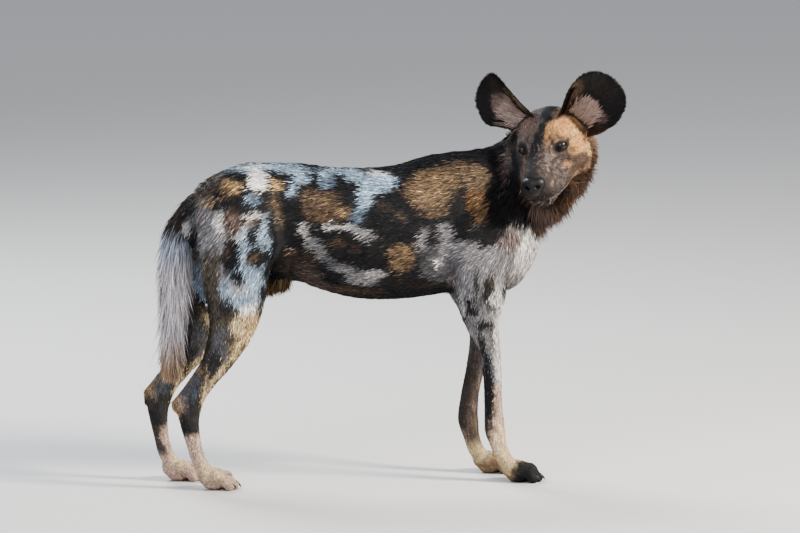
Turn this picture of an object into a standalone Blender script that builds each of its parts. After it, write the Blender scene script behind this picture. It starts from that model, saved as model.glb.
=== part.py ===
"""An African wild dog standing still with its head turned to its right, life size, in metres.

It heads along +X with +Y on its left. The flesh is a blend of named forms whose distance is
known everywhere; a mesh is drawn over it, thinned, and parted into nodes by thin cuts.
"""

import math
import random

import bmesh
import bpy
import numpy as np
from mathutils import Matrix, Vector

SEED = 7
GAP = 0.0003
FAR = 1.0
REACH = 0.045
TOUCH = 1e-5

# Rows of a limb are x, y, z, radius fore and aft, half-width from side to side.
TRUNK = [
    (-0.362, 0, 0.600, 0.070, 0.055),
    (-0.335, 0, 0.607, 0.098, 0.072),
    (-0.276, 0, 0.610, 0.124, 0.085),
    (-0.200, 0, 0.606, 0.128, 0.082),
    (-0.150, 0, 0.602, 0.129, 0.085),
    (-0.080, 0, 0.582, 0.142, 0.098),
    (0.000, 0, 0.568, 0.151, 0.106),
    (0.080, 0, 0.569, 0.154, 0.110),
    (0.150, 0, 0.579, 0.156, 0.106),
    (0.200, 0, 0.585, 0.155, 0.098),
    (0.250, 0, 0.588, 0.148, 0.088),
    (0.298, 0, 0.547, 0.102, 0.073),
]
NECK = [
    (0.190, 0.000, 0.625, 0.100, 0.075),
    (0.270, 0.004, 0.646, 0.091, 0.072),
    (0.335, 0.012, 0.686, 0.081, 0.068),
    (0.385, 0.014, 0.730, 0.074, 0.064),
    (0.415, 0.000, 0.775, 0.070, 0.062),
]
FORELEG = [
    (0.254, -0.079, 0.430, 0.046, 0.033),
    (0.255, -0.080, 0.376, 0.041, 0.031),
    (0.266, -0.078, 0.335, 0.031, 0.026),
    (0.275, -0.076, 0.303, 0.0255, 0.0225),
    (0.281, -0.073, 0.245, 0.0220, 0.0200),
    (0.283, -0.071, 0.188, 0.0210, 0.0190),
    (0.286, -0.070, 0.140, 0.0230, 0.0215),
    (0.288, -0.070, 0.118, 0.0235, 0.0215),
    (0.296, -0.070, 0.085, 0.0190, 0.0190),
    (0.306, -0.070, 0.058, 0.0185, 0.0200),
    (0.318, -0.070, 0.040, 0.0180, 0.0220),
]
HIND_LEG = [
    (-0.310, -0.056, 0.625, 0.080, 0.0450),
    (-0.303, -0.074, 0.580, 0.092, 0.0460),
    (-0.3035, -0.079, 0.530, 0.087, 0.0430),
    (-0.308, -0.080, 0.476, 0.077, 0.0390),
    (-0.308, -0.081, 0.430, 0.068, 0.0360),
    (-0.316, -0.081, 0.372, 0.055, 0.0320),
    (-0.344, -0.079, 0.305, 0.038, 0.0260),
    (-0.371, -0.076, 0.262, 0.029, 0.0220),
    (-0.395, -0.073, 0.225, 0.026, 0.0190),
    (-0.412, -0.070, 0.190, 0.029, 0.0205),
    (-0.411, -0.070, 0.150, 0.022, 0.0190),
    (-0.402, -0.070, 0.105, 0.0175, 0.0170),
    (-0.391, -0.070, 0.068, 0.0170, 0.0175),
    (-0.376, -0.070, 0.042, 0.0170, 0.0210),
]
TAIL = [
    (-0.368, 0, 0.655, 0.026, 0.024),
    (-0.394, 0, 0.636, 0.027, 0.024),
    (-0.417, 0, 0.600, 0.026, 0.023),
    (-0.427, 0, 0.550, 0.027, 0.022),
    (-0.431, 0, 0.490, 0.029, 0.022),
    (-0.435, 0, 0.420, 0.027, 0.021),
    (-0.440, 0, 0.340, 0.022, 0.018),
    (-0.443, 0, 0.270, 0.015, 0.013),
    (-0.446, 0, 0.230, 0.008, 0.007),
]
# How far behind the right leg each height of the left leg stands: heights, then offsets.
FORE_STAGGER = ((0, 0.147, 0.216, 0.335, 0.43), (-0.042, -0.037, -0.023, 0.012, 0.020))
HIND_STAGGER = ((0, 0.19, 0.45, 0.64), (-0.062, -0.050, -0.020, 0))
FORE_FOOT = (0.318, 0.070)
HIND_FOOT = (-0.379, 0.070)

# The head is drawn in its own frame, x to the nose, y to its left, z up, then turned and set.
HEAD_AT = (0.422, -0.050, 0.775)
HEAD_YAW, HEAD_PITCH, HEAD_ROLL = -119.0, -14.5, 8.8
EYE_AT = (0.064, 0.0465, 0.011)
EYE_RADIUS = 0.0118
LID = 0.0026
EAR_THICK = 0.0045
# Side, place of the root, lean outward and turn outward in degrees, length against width.
EARS = {
    "left": (1, (-0.022, 0.063, 0.040), 53, 19, 1.00),
    "right": (-1, (-0.022, -0.057, 0.050), 45, 15, 1.04),
}
# An ear's cup radius by height, then its half-widths by height towards each edge.
EAR_RADIUS = ((-0.03, 0, 0.03, 0.07, 0.15), (0.040, 0.044, 0.055, 0.075, 0.112))
EAR_HEIGHTS = (-0.03, 0, 0.03, 0.062)
EAR_INNER = (0.048, 0.062, 0.078, 0.084)
EAR_OUTER = {"left": (0.046, 0.057, 0.073, 0.078), "right": (0.030, 0.037, 0.050, 0.068)}
EAR_TOP = 0.068

# Where the flesh is parted: a point on the cut and the direction of the far side.
HEAD_CUT = ((0.385, 0.010, 0.700), (0.80, -0.55, 0.22))
NECK_CUT = ((0.280, 0.000, 0.655), (0.80, 0.00, 0.60))
THIGH_CUTS = [((0, 0.040, 0.500), (0, 0.80, -0.60)), ((-0.193, 0, 0.620), (-0.985, 0, 0.171))]
ARM_CUTS = [((0, 0.056, 0.455), (0, 0.85, -0.53)), ((0.196, 0, 0), (1, 0, 0)), ((0.318, 0, 0.46), (-0.97, 0, -0.24))]
KNEE_Z, HOCK_Z = 0.400, 0.168
ELBOW_Z, WRIST_Z = 0.392, 0.145

# Boxes that the two large meshes are drawn in, and how many triangles each mesh keeps.
BODY_BOX = ((-0.56, -0.16, 0.12), (0.44, 0.16, 0.80))
HEAD_BOX = ((0.17, -0.22, 0.50), (0.58, 0.12, 0.88))
BODY_TRIANGLES, HEAD_TRIANGLES, FOOT_TRIANGLES = 2800, 3200, 440
EAR_COLUMNS, NOSE_TRIANGLES, TAIL_TRIANGLES = 11, 260, 260

# Each toe's place across the foot, and how far back it stands.
TOES = ((-0.0105, 0), (0.0105, 0), (-0.0285, 0.014), (0.0285, 0.014))

# Locks of long hair.
LOCK_SINK, LOCK_FLAT = 0.012, 0.34
TIDY_SHARE, WELD = 0.92, 0.00006
RUFF_LENGTH, RUFF_WIDE, RUFF_SPACING, RUFF_LOWEST = 0.040, 0.022, 0.0195, 0.598
BRUSH_FIRST, BRUSH_ROUND, BRUSH_FLARE = 2, 5, 0.22
BRUSH_LENGTH, BRUSH_WIDE = 0.100, 0.026

# The tone and roughness of each part.
TONES = {
    "torso": ((0.055, 0.040, 0.030), 0.85),
    "neck": ((0.100, 0.060, 0.035), 0.85),
    "head": ((0.160, 0.100, 0.065), 0.85),
    "ear": ((0.020, 0.015, 0.012), 0.85),
    "nose": ((0.008, 0.008, 0.010), 0.40),
    "eye": ((0.015, 0.008, 0.005), 0.10),
    "tail": ((0.550, 0.500, 0.440), 0.90),
    "thigh": ((0.330, 0.310, 0.300), 0.85),
    "hind_leg": ((0.200, 0.160, 0.110), 0.85),
    "upper_arm": ((0.300, 0.270, 0.250), 0.85),
    "forearm": ((0.230, 0.190, 0.160), 0.85),
    "hind_foot": ((0.420, 0.330, 0.270), 0.85),
    "fore_foot": ((0.200, 0.150, 0.120), 0.85),
}


class Form:
    """A shape known by its distance function, and the box that holds it."""

    def __init__(self, distance, low, high):
        self.distance = distance
        self.low, self.high = np.asarray(low, float), np.asarray(high, float)

    def near(self, p):
        return np.flatnonzero(((p > self.low - REACH) & (p < self.high + REACH)).all(axis=1))


def soft_min(a, b, soft):
    if soft <= 0:
        return np.minimum(a, b)
    h = np.maximum(soft - np.abs(a - b), 0) / soft
    return np.minimum(a, b) - h * h * soft / 4


def ball(centre, radii):
    c, r = np.asarray(centre, float), np.broadcast_to(np.asarray(radii, float), 3)

    def distance(p):
        q = p - c
        k0 = np.linalg.norm(q / r, axis=1)
        return k0 * (k0 - 1) / np.maximum(np.linalg.norm(q / r**2, axis=1), 1e-6)

    return Form(distance, c - r, c + r)


def smooth_curve(rows, steps):
    """A curve through the rows, with this many steps between one row and the next."""
    rows = np.asarray(rows, float)
    p = np.vstack([2 * rows[0] - rows[1], rows, 2 * rows[-1] - rows[-2]])
    out = []
    for i in range(len(rows) - 1):
        p0, p1, p2, p3 = p[i : i + 4]
        for t in np.arange(steps) / steps:
            bend = (2 * p0 - 5 * p1 + 4 * p2 - p3) * t**2 + (3 * p1 - p0 - 3 * p2 + p3) * t**3
            out.append(0.5 * (2 * p1 + (p2 - p0) * t + bend))
    out.append(rows[-1])
    return np.array(out)


def chain(rows, steps=4):
    """An oval rod swept along the curve through the rows."""
    c = smooth_curve(rows, steps)
    a, b = c[:-1], c[1:]
    along = b[:, :3] - a[:, :3]
    length2 = (along * along).sum(axis=1)
    side = np.array([0, 1.0, 0]) - along * (along[:, 1] / length2)[:, None]
    side /= np.linalg.norm(side, axis=1)[:, None]

    def distance(p):
        best, out = np.full(len(p), 1e9), np.full(len(p), FAR)
        for k in range(len(a)):
            q = p - a[k, :3]
            t = np.clip(q @ along[k] / length2[k], 0, 1)
            q -= t[:, None] * along[k]
            d2 = (q * q).sum(axis=1)
            i = np.flatnonzero(d2 < best)
            best[i] = d2[i]
            r, w = a[k, 3:5, None] + (b[k, 3:5] - a[k, 3:5])[:, None] * t[i]
            x2 = (q[i] @ side[k]) ** 2
            y2 = np.maximum(d2[i] - x2, 0)
            k0 = np.sqrt(x2 / w**2 + y2 / r**2)
            out[i] = k0 * (k0 - 1) / np.maximum(np.sqrt(x2 / w**4 + y2 / r**4), 1e-6)
        return out

    big = c[:, 3:5].max(axis=1)[:, None]
    return Form(distance, (c[:, :3] - big).min(axis=0), (c[:, :3] + big).max(axis=0))


def bone(a, b, ra, rb, wa=None, wb=None):
    """A tapered rod from a to b: its radii, and its half-widths where they differ."""
    return chain([(*a, ra, wa or ra), (*b, rb, wb or rb)], 1)


def blend(forms, soft):
    forms = list(forms)

    def distance(p):
        d = np.full(len(p), FAR)
        for form in forms:
            i = form.near(p)
            if len(i):
                d[i] = soft_min(d[i], form.distance(p[i]), soft)
        return d

    low, high = [f.low for f in forms], [f.high for f in forms]
    return Form(distance, np.min(low, axis=0), np.max(high, axis=0))


def carve(form, cutter, soft):
    def distance(p):
        d = form.distance(p)
        i = cutter.near(p)
        if len(i):
            d[i] = -soft_min(-d[i], cutter.distance(p[i]), soft)
        return d

    return Form(distance, form.low, form.high)


def placed(form, origin, axes):
    """A form drawn in its own frame, whose x, y and z directions are the rows of axes."""
    o, m = np.asarray(origin, float), np.asarray(axes, float)
    ends = np.array([form.low, form.high])
    corners = [[ends[i, 0], ends[j, 1], ends[k, 2]] for i in (0, 1) for j in (0, 1) for k in (0, 1)]
    corners = np.array(corners) @ m + o
    return Form(lambda p: form.distance((p - o) @ m.T), corners.min(axis=0), corners.max(axis=0))


def both_sides(form):
    """The form and its mirror image across y = 0, in its own frame."""
    wide = max(abs(form.low[1]), abs(form.high[1]))
    low, high = (form.low[0], -wide, form.low[2]), (form.high[0], wide, form.high[2])
    return Form(lambda p: form.distance(np.column_stack([p[:, 0], np.abs(p[:, 1]), p[:, 2]])), low, high)


def slope(form, p, h=0.0006):
    steps = h * np.eye(3)
    return np.stack([form.distance(p + e) - form.distance(p - e) for e in steps], -1) / (2 * h)


def head_axes():
    yaw, pitch, roll = (math.radians(a) for a in (HEAD_YAW, HEAD_PITCH, HEAD_ROLL))
    ahead = np.array([math.cos(pitch) * math.cos(yaw), math.cos(pitch) * math.sin(yaw), math.sin(pitch)])
    left = np.array([-math.sin(yaw), math.cos(yaw), 0])
    left = math.cos(roll) * left + math.sin(roll) * np.cross(ahead, left)
    return np.array([ahead, left, np.cross(ahead, left)])


def to_world(point):
    return np.array(point) @ head_axes() + np.array(HEAD_AT)


def skull():
    pair = both_sides
    forms = [
        ball((-0.014, 0, 0.013), (0.078, 0.062, 0.055)),
        ball((0.040, 0, 0.010), (0.052, 0.046, 0.040)),
        pair(ball((0.010, 0.046, -0.024), (0.056, 0.034, 0.046))),
        pair(ball((-0.022, 0.042, -0.036), (0.050, 0.038, 0.052))),
        bone((0.040, 0, -0.032), (0.126, 0, -0.052), 0.050, 0.036, 0.050, 0.035),
        bone((0.058, 0, -0.004), (0.150, 0, -0.034), 0.026, 0.0215, 0.022, 0.020),
        pair(bone((0.060, 0.030, -0.058), (0.138, 0.018, -0.064), 0.024, 0.020, 0.021, 0.018)),
        bone((-0.010, 0, -0.070), (0.124, 0, -0.090), 0.028, 0.016, 0.044, 0.024),
        pair(ball((0.052, 0.038, 0.024), (0.026, 0.018, 0.012))),
    ]
    return blend(forms, 0.022)


def face():
    """The skull's flesh with its eye sockets, lids and the line of the mouth."""
    eye = np.array(EYE_AT)
    form = carve(skull(), both_sides(ball(eye + (0.008, 0.005, 0), 0.0125)), 0.008)
    form = blend([form, both_sides(ball(eye, EYE_RADIUS + LID))], 0.006)
    form = carve(form, both_sides(ball(eye + (0.0085, 0.0065, -0.0005), (0.0115, 0.0115, 0.0066))), 0.002)
    lips = [(0.166, 0, -0.082), (0.152, 0.022, -0.083), (0.120, 0.037, -0.083), (0.085, 0.047, -0.081)]
    lips.append((0.048, 0.058, -0.074))
    return carve(form, both_sides(chain([(*p, 0.0024, 0.0045) for p in lips], 3)), 0.003)


def nose_pad():
    pad = blend([ball((0.160, 0, -0.040), (0.017, 0.0225, 0.0165)), ball((0.162, 0, -0.054), (0.011, 0.010, 0.012))], 0.008)
    hole = bone((0.182, 0.0085, -0.0445), (0.168, 0.012, -0.042), 0.0042, 0.0042, 0.0050, 0.0042)
    slit = bone((0.175, 0.016, -0.049), (0.160, 0.022, -0.051), 0.0018, 0.0018, 0.0022, 0.0022)
    return carve(carve(pad, both_sides(hole), 0.002), both_sides(slit), 0.0015)


def ear_frame(side):
    """Where an ear is rooted, and its directions: out of the cup, across it, and along it."""
    sign, root, lean, turn, _ = EARS[side]
    lean, turn = math.radians(lean), math.radians(turn)
    along = np.array([0.02, sign * math.sin(lean), math.cos(lean)])
    along /= np.linalg.norm(along)
    facing = np.array([math.cos(turn), sign * math.sin(turn), 0])
    facing -= along * (facing @ along)
    facing /= np.linalg.norm(facing)
    return to_world(root), np.array([facing, np.cross(along, facing), along]) @ head_axes()


def ear_point(across, z, off):
    """A point of the cupped sheet in the ear's own frame, moved off its middle by off."""
    radius = np.interp(z, *EAR_RADIUS)
    turn = across / radius
    deep = radius + off
    return (radius - deep * math.cos(turn) - max(z, 0) ** 2, deep * math.sin(turn), z)


def ear_wide(side, way, z):
    """The half-width of an ear at a height, towards its outer edge where way is above 0."""
    wide = np.interp(z, EAR_HEIGHTS, EAR_OUTER[side] if way > 0 else EAR_INNER)
    over = max(z - EAR_HEIGHTS[-1], 0) / EAR_TOP
    return wide * math.sqrt(1 - over**2)


def ear(side):
    """One ear as two sheets of quads that meet round the rim."""
    sign, long = EARS[side][0], EARS[side][4]
    heights = [-0.028, -0.01, 0.01, 0.03, 0.05, 0.07, 0.09, 0.106, 0.118, 0.126]
    columns = np.sin(np.linspace(-1, 1, EAR_COLUMNS) * math.pi / 2 * 0.98)
    points = []
    for off in (EAR_THICK / 2, -EAR_THICK / 2):
        for z in heights:
            points += [ear_point(c * ear_wide(side, c * sign, z), z, off) for c in columns]
    rows, n = len(heights), EAR_COLUMNS
    back, faces = rows * n, []
    for j in range(rows - 1):
        for i in range(n - 1):
            k = j * n + i
            faces += [(k, k + 1, k + n + 1, k + n), (back + k, back + k + n, back + k + n + 1, back + k + 1)]
    border = [i for i in range(n)] + [j * n + n - 1 for j in range(1, rows)]
    border += [(rows - 1) * n + i for i in range(n - 2, -1, -1)] + [j * n for j in range(rows - 2, 0, -1)]
    for a, b in zip(border, border[1:] + border[:1]):
        faces.append((b, a, back + a, back + b))
    root, axes = ear_frame(side)
    points = np.array(points) * (1, 1, long)
    return new_object(f"ear_{side}", points @ axes + root, faces)


def in_place(form):
    return placed(form, HEAD_AT, head_axes())


def foot(sign, at, stagger):
    """Four toes and a pad on the ground, toes along +x."""
    forms = [bone((0.006, 0, 0.030), (0.035, 0, 0.020), 0.021, 0.017, 0.024, 0.026)]
    forms.append(ball((0.022, 0, 0.012), (0.024, 0.024, 0.0145)))
    for y, back in TOES:
        knuckle, tip = (0.052 - back, y, 0.028), (0.067 - back, y * 1.02, 0.0095)
        forms.append(bone((0.030 - 0.6 * back, 0.8 * y, 0.034), knuckle, 0.0145, 0.0125, 0.0125, 0.012))
        forms.append(bone(knuckle, tip, 0.0125, 0.0115, 0.012, 0.011))
    return placed(blend(forms, 0.006), (at[0] + stagger, sign * at[1], 0), np.eye(3))


def staggered(rows, stagger):
    """The left leg, from the rows of the right one."""
    return [(x + np.interp(z, *stagger), -y, z, r, w) for x, y, z, r, w in rows]


def shoulder(sign):
    return [
        bone((0.215, sign * 0.056, 0.655), (0.262, sign * 0.074, 0.540), 0.075, 0.062, 0.032, 0.034),
        bone((0.288, sign * 0.074, 0.530), (0.260, sign * 0.080, 0.430), 0.046, 0.045, 0.032, 0.032),
        bone((0.227, sign * 0.070, 0.560), (0.242, sign * 0.080, 0.440), 0.045, 0.038, 0.028, 0.030),
    ]


def hock(sign, stagger):
    """The heel and the tendon that runs up from it."""
    y = sign * 0.070
    heel = bone((stagger - 0.414, y, 0.200), (stagger - 0.438, y, 0.192), 0.016, 0.014, 0.012, 0.010)
    top = (0.9 * stagger - 0.386, sign * 0.076, 0.270)
    return [heel, bone(top, (stagger - 0.441, y, 0.200), 0.010, 0.009, 0.007, 0.007)]


def flesh():
    """The whole animal but for its ears, nose pad and tail."""
    trunk = blend([chain(TRUNK), chain(NECK)], 0.06)
    brisket = bone((0.322, 0, 0.545), (0.312, 0, 0.482), 0.064, 0.052, 0.062, 0.050)
    body = blend([trunk, brisket, *shoulder(-1), *shoulder(1)], 0.035)
    legs = [chain(HIND_LEG), chain(staggered(HIND_LEG, HIND_STAGGER))]
    legs += [chain(FORELEG), chain(staggered(FORELEG, FORE_STAGGER))]
    body = blend([body, *legs], 0.03)
    body = blend([body, *hock(-1, 0), *hock(1, HIND_STAGGER[1][1])], 0.012)
    feet = [foot(-1, FORE_FOOT, 0), foot(1, FORE_FOOT, FORE_STAGGER[1][0])]
    feet += [foot(-1, HIND_FOOT, 0), foot(1, HIND_FOOT, HIND_STAGGER[1][0])]
    body = blend([body, *feet], 0.010)
    sheath = bone((-0.160, 0, 0.482), (-0.205, 0, 0.464), 0.018, 0.015)
    throat = bone((0.460, -0.020, 0.700), (0.405, -0.015, 0.640), 0.052, 0.050)
    body = blend([body, sheath], 0.02)
    return blend([body, throat, in_place(face())], 0.03)


def fine_field(form, low, cells, step, coarse=4):
    """Distances on a grid, worked out only near the surface."""
    blocks = np.ceil(np.asarray(cells) / coarse).astype(int)
    axes = [low[k] + step * coarse * (np.arange(blocks[k]) + 0.5) for k in range(3)]
    middle = np.stack(np.meshgrid(*axes, indexing="ij"), -1).reshape(-1, 3)
    far = form.distance(middle)
    field = np.sign(far).reshape(blocks) * FAR
    for k in range(3):
        field = np.repeat(field, coarse, axis=k)
    near = np.flatnonzero(np.abs(far) < step * coarse * 1.3)
    start = np.stack(np.unravel_index(near, blocks), -1) * coarse
    inner = np.stack(np.meshgrid(*[np.arange(coarse)] * 3, indexing="ij"), -1).reshape(-1, 3)
    cell = (start[:, None] + inner).reshape(-1, 3)
    field[tuple(cell.T)] = form.distance(low + step * (cell + 0.5))
    for k in range(3):
        edge = [slice(None)] * 3
        for edge[k] in (0, -1):
            field[tuple(edge)] = FAR
    return field


def corner_views(field):
    """The field seen from each of the eight corners of its cells."""
    nx, ny, nz = np.array(field.shape) - 1
    return {(x, y, z): field[x : nx + x, y : ny + y, z : nz + z] for x, y, z in np.ndindex(2, 2, 2)}


def join_corners(field):
    """Fills places where the inside would meet itself only along an edge or at a point."""
    corner = corner_views(field)
    pairs = [((0, 0, 0), (1, 1, 0), (1, 0, 0), (0, 1, 0)), ((0, 0, 0), (1, 0, 1), (1, 0, 0), (0, 0, 1))]
    pairs.append(((0, 0, 0), (0, 1, 1), (0, 1, 0), (0, 0, 1)))
    for _ in range(4):
        for a, d, b, c in pairs:
            for one, two, out, away in ((a, d, b, c), (b, c, a, d)):
                meet = (corner[one] < 0) & (corner[two] < 0) & (corner[out] >= 0) & (corner[away] >= 0)
                corner[out][meet] = -TOUCH
        for a in ((0, 0, 0), (0, 0, 1), (0, 1, 0), (1, 0, 0)):
            b = tuple(1 - k for k in a)
            rest = [corner[k] < 0 for k in corner if k not in (a, b)]
            meet = ~np.any(rest, axis=0) & (corner[a] < 0) & (corner[b] < 0)
            corner[(a[0], a[1], b[2])][meet] = -TOUCH
            corner[(a[0], b[1], b[2])][meet] = -TOUCH
            lone = np.all(rest, axis=0) & (corner[a] >= 0) & (corner[b] >= 0)
            corner[a][lone] = -TOUCH


def net_points(field, cells):
    """One point in each cell that the surface passes, at the middle of its crossings."""
    point, weight = np.zeros((len(cells), 3)), np.zeros(len(cells))
    for corner in np.ndindex(2, 2, 2):
        for k in range(3):
            if corner[k]:
                continue
            ahead = np.array(corner)
            ahead[k] = 1
            a, b = field[tuple((cells + corner).T)], field[tuple((cells + ahead).T)]
            cross = (a < 0) != (b < 0)
            place = np.tile(np.array(corner, float), (len(cells), 1))
            place[:, k] = a / np.where(cross, a - b, 1)
            point += place * cross[:, None]
            weight += cross
    return cells + point / weight[:, None]


def surface_net(form, low, high, step):
    """Points and quads over the surface of a form inside a box."""
    low = np.asarray(low, float)
    field = fine_field(form, low, np.ceil((np.asarray(high) - low) / step).astype(int), step)
    join_corners(field)
    inside = field < 0
    corners = sum(view.astype(int) for view in corner_views(inside).values())
    cells = np.argwhere((corners > 0) & (corners < 8))
    number = np.full(corners.shape, -1)
    number[tuple(cells.T)] = np.arange(len(cells))
    quads = []
    for k in range(3):
        quads.append(net_quads(inside, number, k))
    return low + step * (net_points(field, cells) + 0.5), np.concatenate(quads)


def net_quads(inside, number, k):
    """The quads across the grid edges that run along axis k."""
    i, j = (k + 1) % 3, (k + 2) % 3
    here, ahead = [slice(None)] * 3, [slice(None)] * 3
    here[k], ahead[k] = slice(0, -1), slice(1, None)
    edge = np.argwhere(inside[tuple(here)] != inside[tuple(ahead)])
    quad = []
    for di, dj in ((1, 1), (0, 1), (0, 0), (1, 0)):
        cell = edge.copy()
        cell[:, i] -= di
        cell[:, j] -= dj
        quad.append(number[tuple(cell.T)])
    quad = np.stack(quad, -1)
    outward = inside[tuple(edge.T)]
    quad[~outward] = quad[~outward][:, ::-1]
    return quad


def settle(form, p, rounds=4):
    """Points moved along the slope onto the surface of the form."""
    for _ in range(rounds):
        g = slope(form, p)
        p = p - g * (form.distance(p) / np.maximum((g * g).sum(axis=1), 0.05))[:, None]
    return p


def new_object(name, points, faces):
    mesh = bpy.data.meshes.new(name)
    mesh.from_pydata([tuple(p) for p in points], [], [tuple(f) for f in faces])
    obj = bpy.data.objects.new(name, mesh)
    bpy.context.scene.collection.objects.link(obj)
    return obj


def apply_modifiers(obj):
    graph = bpy.context.evaluated_depsgraph_get()
    mesh = bpy.data.meshes.new_from_object(obj.evaluated_get(graph))
    obj.modifiers.clear()
    obj.data = mesh
    return obj


def drop(*objects):
    for obj in objects:
        bpy.data.objects.remove(obj)


def keep_largest(obj):
    """Keeps the closed surface with the most volume, and drops loose crumbs."""
    bm = bmesh.new()
    bm.from_mesh(obj.data)
    left, shells = set(bm.verts), []
    while left:
        shell, edge = set(), [left.pop()]
        while edge:
            vert = edge.pop()
            shell.add(vert)
            near = {e.other_vert(vert) for e in vert.link_edges} & left
            left -= near
            edge.extend(near)
        shells.append(shell)
    size = {}
    for k, shell in enumerate(shells):
        faces = {f for v in shell for f in v.link_faces}
        size[k] = abs(sum(f.calc_area() * f.normal.dot(f.calc_center_median()) for f in faces))
    best = max(size, key=size.get)
    crumbs = [v for k, shell in enumerate(shells) if k != best for v in shell]
    bmesh.ops.delete(bm, geom=crumbs, context="VERTS")
    bmesh.ops.triangulate(bm, faces=bm.faces)
    bm.to_mesh(obj.data)
    bm.free()
    return obj


def welded(obj):
    """Closes the slivers that a Boolean leaves."""
    bm = bmesh.new()
    bm.from_mesh(obj.data)
    bmesh.ops.remove_doubles(bm, verts=bm.verts, dist=WELD)
    bmesh.ops.dissolve_degenerate(bm, dist=WELD, edges=bm.edges)
    bmesh.ops.triangulate(bm, faces=bm.faces)
    bm.to_mesh(obj.data)
    bm.free()
    return obj


def thinned(obj, share):
    """Keeps this share of the triangles, the smallest going first."""
    thin = obj.modifiers.new("thin", "DECIMATE")
    thin.ratio = min(1.0, share)
    return keep_largest(apply_modifiers(obj))


def solid(name, form, step, triangles, low=None, high=None):
    """A closed mesh of a form, thinned to about this many triangles."""
    low = form.low - 3 * step if low is None else np.asarray(low)
    high = form.high + 3 * step if high is None else np.asarray(high)
    points, quads = surface_net(form, low, high, step)
    return thinned(new_object(name, points, quads), triangles / (2 * len(quads)))


def block(planes, shrink=0.0):
    """The convex region on the far side of every plane, moved in by shrink."""
    bm = bmesh.new()
    bmesh.ops.create_cube(bm, size=2.4)
    for point, way in planes:
        way = Vector(way).normalized()
        geom = bm.verts[:] + bm.edges[:] + bm.faces[:]
        place = Vector(point) + way * shrink
        cut = bmesh.ops.bisect_plane(bm, geom=geom, plane_co=place, plane_no=way, clear_inner=True)
        edges = [e for e in cut["geom_cut"] if isinstance(e, bmesh.types.BMEdge)]
        bmesh.ops.edgenet_fill(bm, edges=edges)
    bmesh.ops.recalc_face_normals(bm, faces=bm.faces)
    mesh = bpy.data.meshes.new("block")
    bm.to_mesh(mesh)
    bm.free()
    obj = bpy.data.objects.new("block", mesh)
    bpy.context.scene.collection.objects.link(obj)
    return obj


def copy_of(obj, name):
    other = bpy.data.objects.new(name, obj.data.copy())
    bpy.context.scene.collection.objects.link(other)
    return other


def combine(obj, other, operation):
    cut = obj.modifiers.new("cut", "BOOLEAN")
    cut.operation, cut.solver, cut.object = operation, "EXACT", other
    return apply_modifiers(obj)


def part(body, name, planes):
    """The piece of the body beyond every plane."""
    region = block(planes, GAP / 2)
    piece = combine(copy_of(body, name), region, "INTERSECT")
    drop(region)
    return keep_largest(piece)


def without(body, planes):
    region = block(planes, -GAP / 2)
    combine(body, region, "DIFFERENCE")
    drop(region)
    return body


def grown(obj, by):
    """A copy of a closed mesh with its surface moved out."""
    other = copy_of(obj, "grown")
    mesh = other.data
    normals = [v.normal.copy() for v in mesh.vertices]
    for vert, normal in zip(mesh.vertices, normals):
        vert.co += normal * by
    return other


def seat(obj, seat_of, by=1.5 * GAP):
    """Cuts a piece back where it would enter its neighbour."""
    cutter = grown(seat_of, by)
    combine(obj, cutter, "DIFFERENCE")
    drop(cutter)
    return keep_largest(obj)


def flipped(planes):
    """The same planes for the right side of the animal."""
    return [((x, -y, z), (a, -b, c)) for (x, y, z), (a, b, c) in planes]


def other_side(plane):
    point, way = plane
    return point, tuple(-c for c in way)


def above(z):
    return (0, 0, z), (0, 0, 1)


def below(z):
    return (0, 0, z), (0, 0, -1)


def leg_parts(body, feet, side, sign):
    """The thigh and upper arm, lower legs and feet of one side."""
    thigh = THIGH_CUTS if sign > 0 else flipped(THIGH_CUTS)
    arm = ARM_CUTS if sign > 0 else flipped(ARM_CUTS)
    half, back, front = ((0, 0, 0), (0, sign, 0)), ((0, 0, 0), (-1, 0, 0)), ((0, 0, 0), (1, 0, 0))
    part(body, f"thigh_{side}", [*thigh, above(KNEE_Z), half])
    part(body, f"hind_leg_{side}", [back, half, below(KNEE_Z), above(HOCK_Z)])
    part(body, f"upper_arm_{side}", [*arm, above(ELBOW_Z), half])
    part(body, f"forearm_{side}", [front, half, below(ELBOW_Z), above(WRIST_Z)])
    for kind, height, end in (("hind", HOCK_Z, back), ("fore", WRIST_Z, front)):
        part(feet[kind, sign], f"{kind}_foot_{side}", [below(height), above(-GAP / 2), half, end])
    for region in ([*thigh, half], [*arm, half], [back, half, below(KNEE_Z)], [front, half, below(ELBOW_Z)]):
        without(body, region)


def feet_meshes(form):
    """The four feet at a finer grid than the rest, each a little taller than its cut."""
    feet = {}
    for sign in (-1, 1):
        for kind, at, height, stagger in (
            ("hind", HIND_FOOT, HOCK_Z, HIND_STAGGER),
            ("fore", FORE_FOOT, WRIST_Z, FORE_STAGGER),
        ):
            x, y = at[0] + (stagger[1][0] if sign > 0 else 0), sign * at[1]
            low, high = (x - 0.10, y - 0.05, -0.012), (x + 0.095, y + 0.05, height + 0.01)
            feet[kind, sign] = solid("foot", form, 0.0025, FOOT_TRIANGLES, low, high)
    return feet


def loft(rings, tip):
    """A closed spike through rings of four points to a tip."""
    points = [p for ring in rings for p in ring] + [tip]
    last = len(points) - 1
    faces = [(3, 2, 1, 0)]
    for k in range(0, last - 4, 4):
        for a, b in ((0, 1), (1, 2), (2, 3), (3, 0)):
            faces.append((k + a, k + b, k + 4 + b, k + 4 + a))
    faces += [(last - 4 + a, last - 4 + b, last) for a, b in ((0, 1), (1, 2), (2, 3), (3, 0))]
    return points, faces


def ring(centre, side, out, wide, thick):
    return [centre + side * wide, centre + out * thick, centre - side * wide, centre - out * thick]


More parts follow.
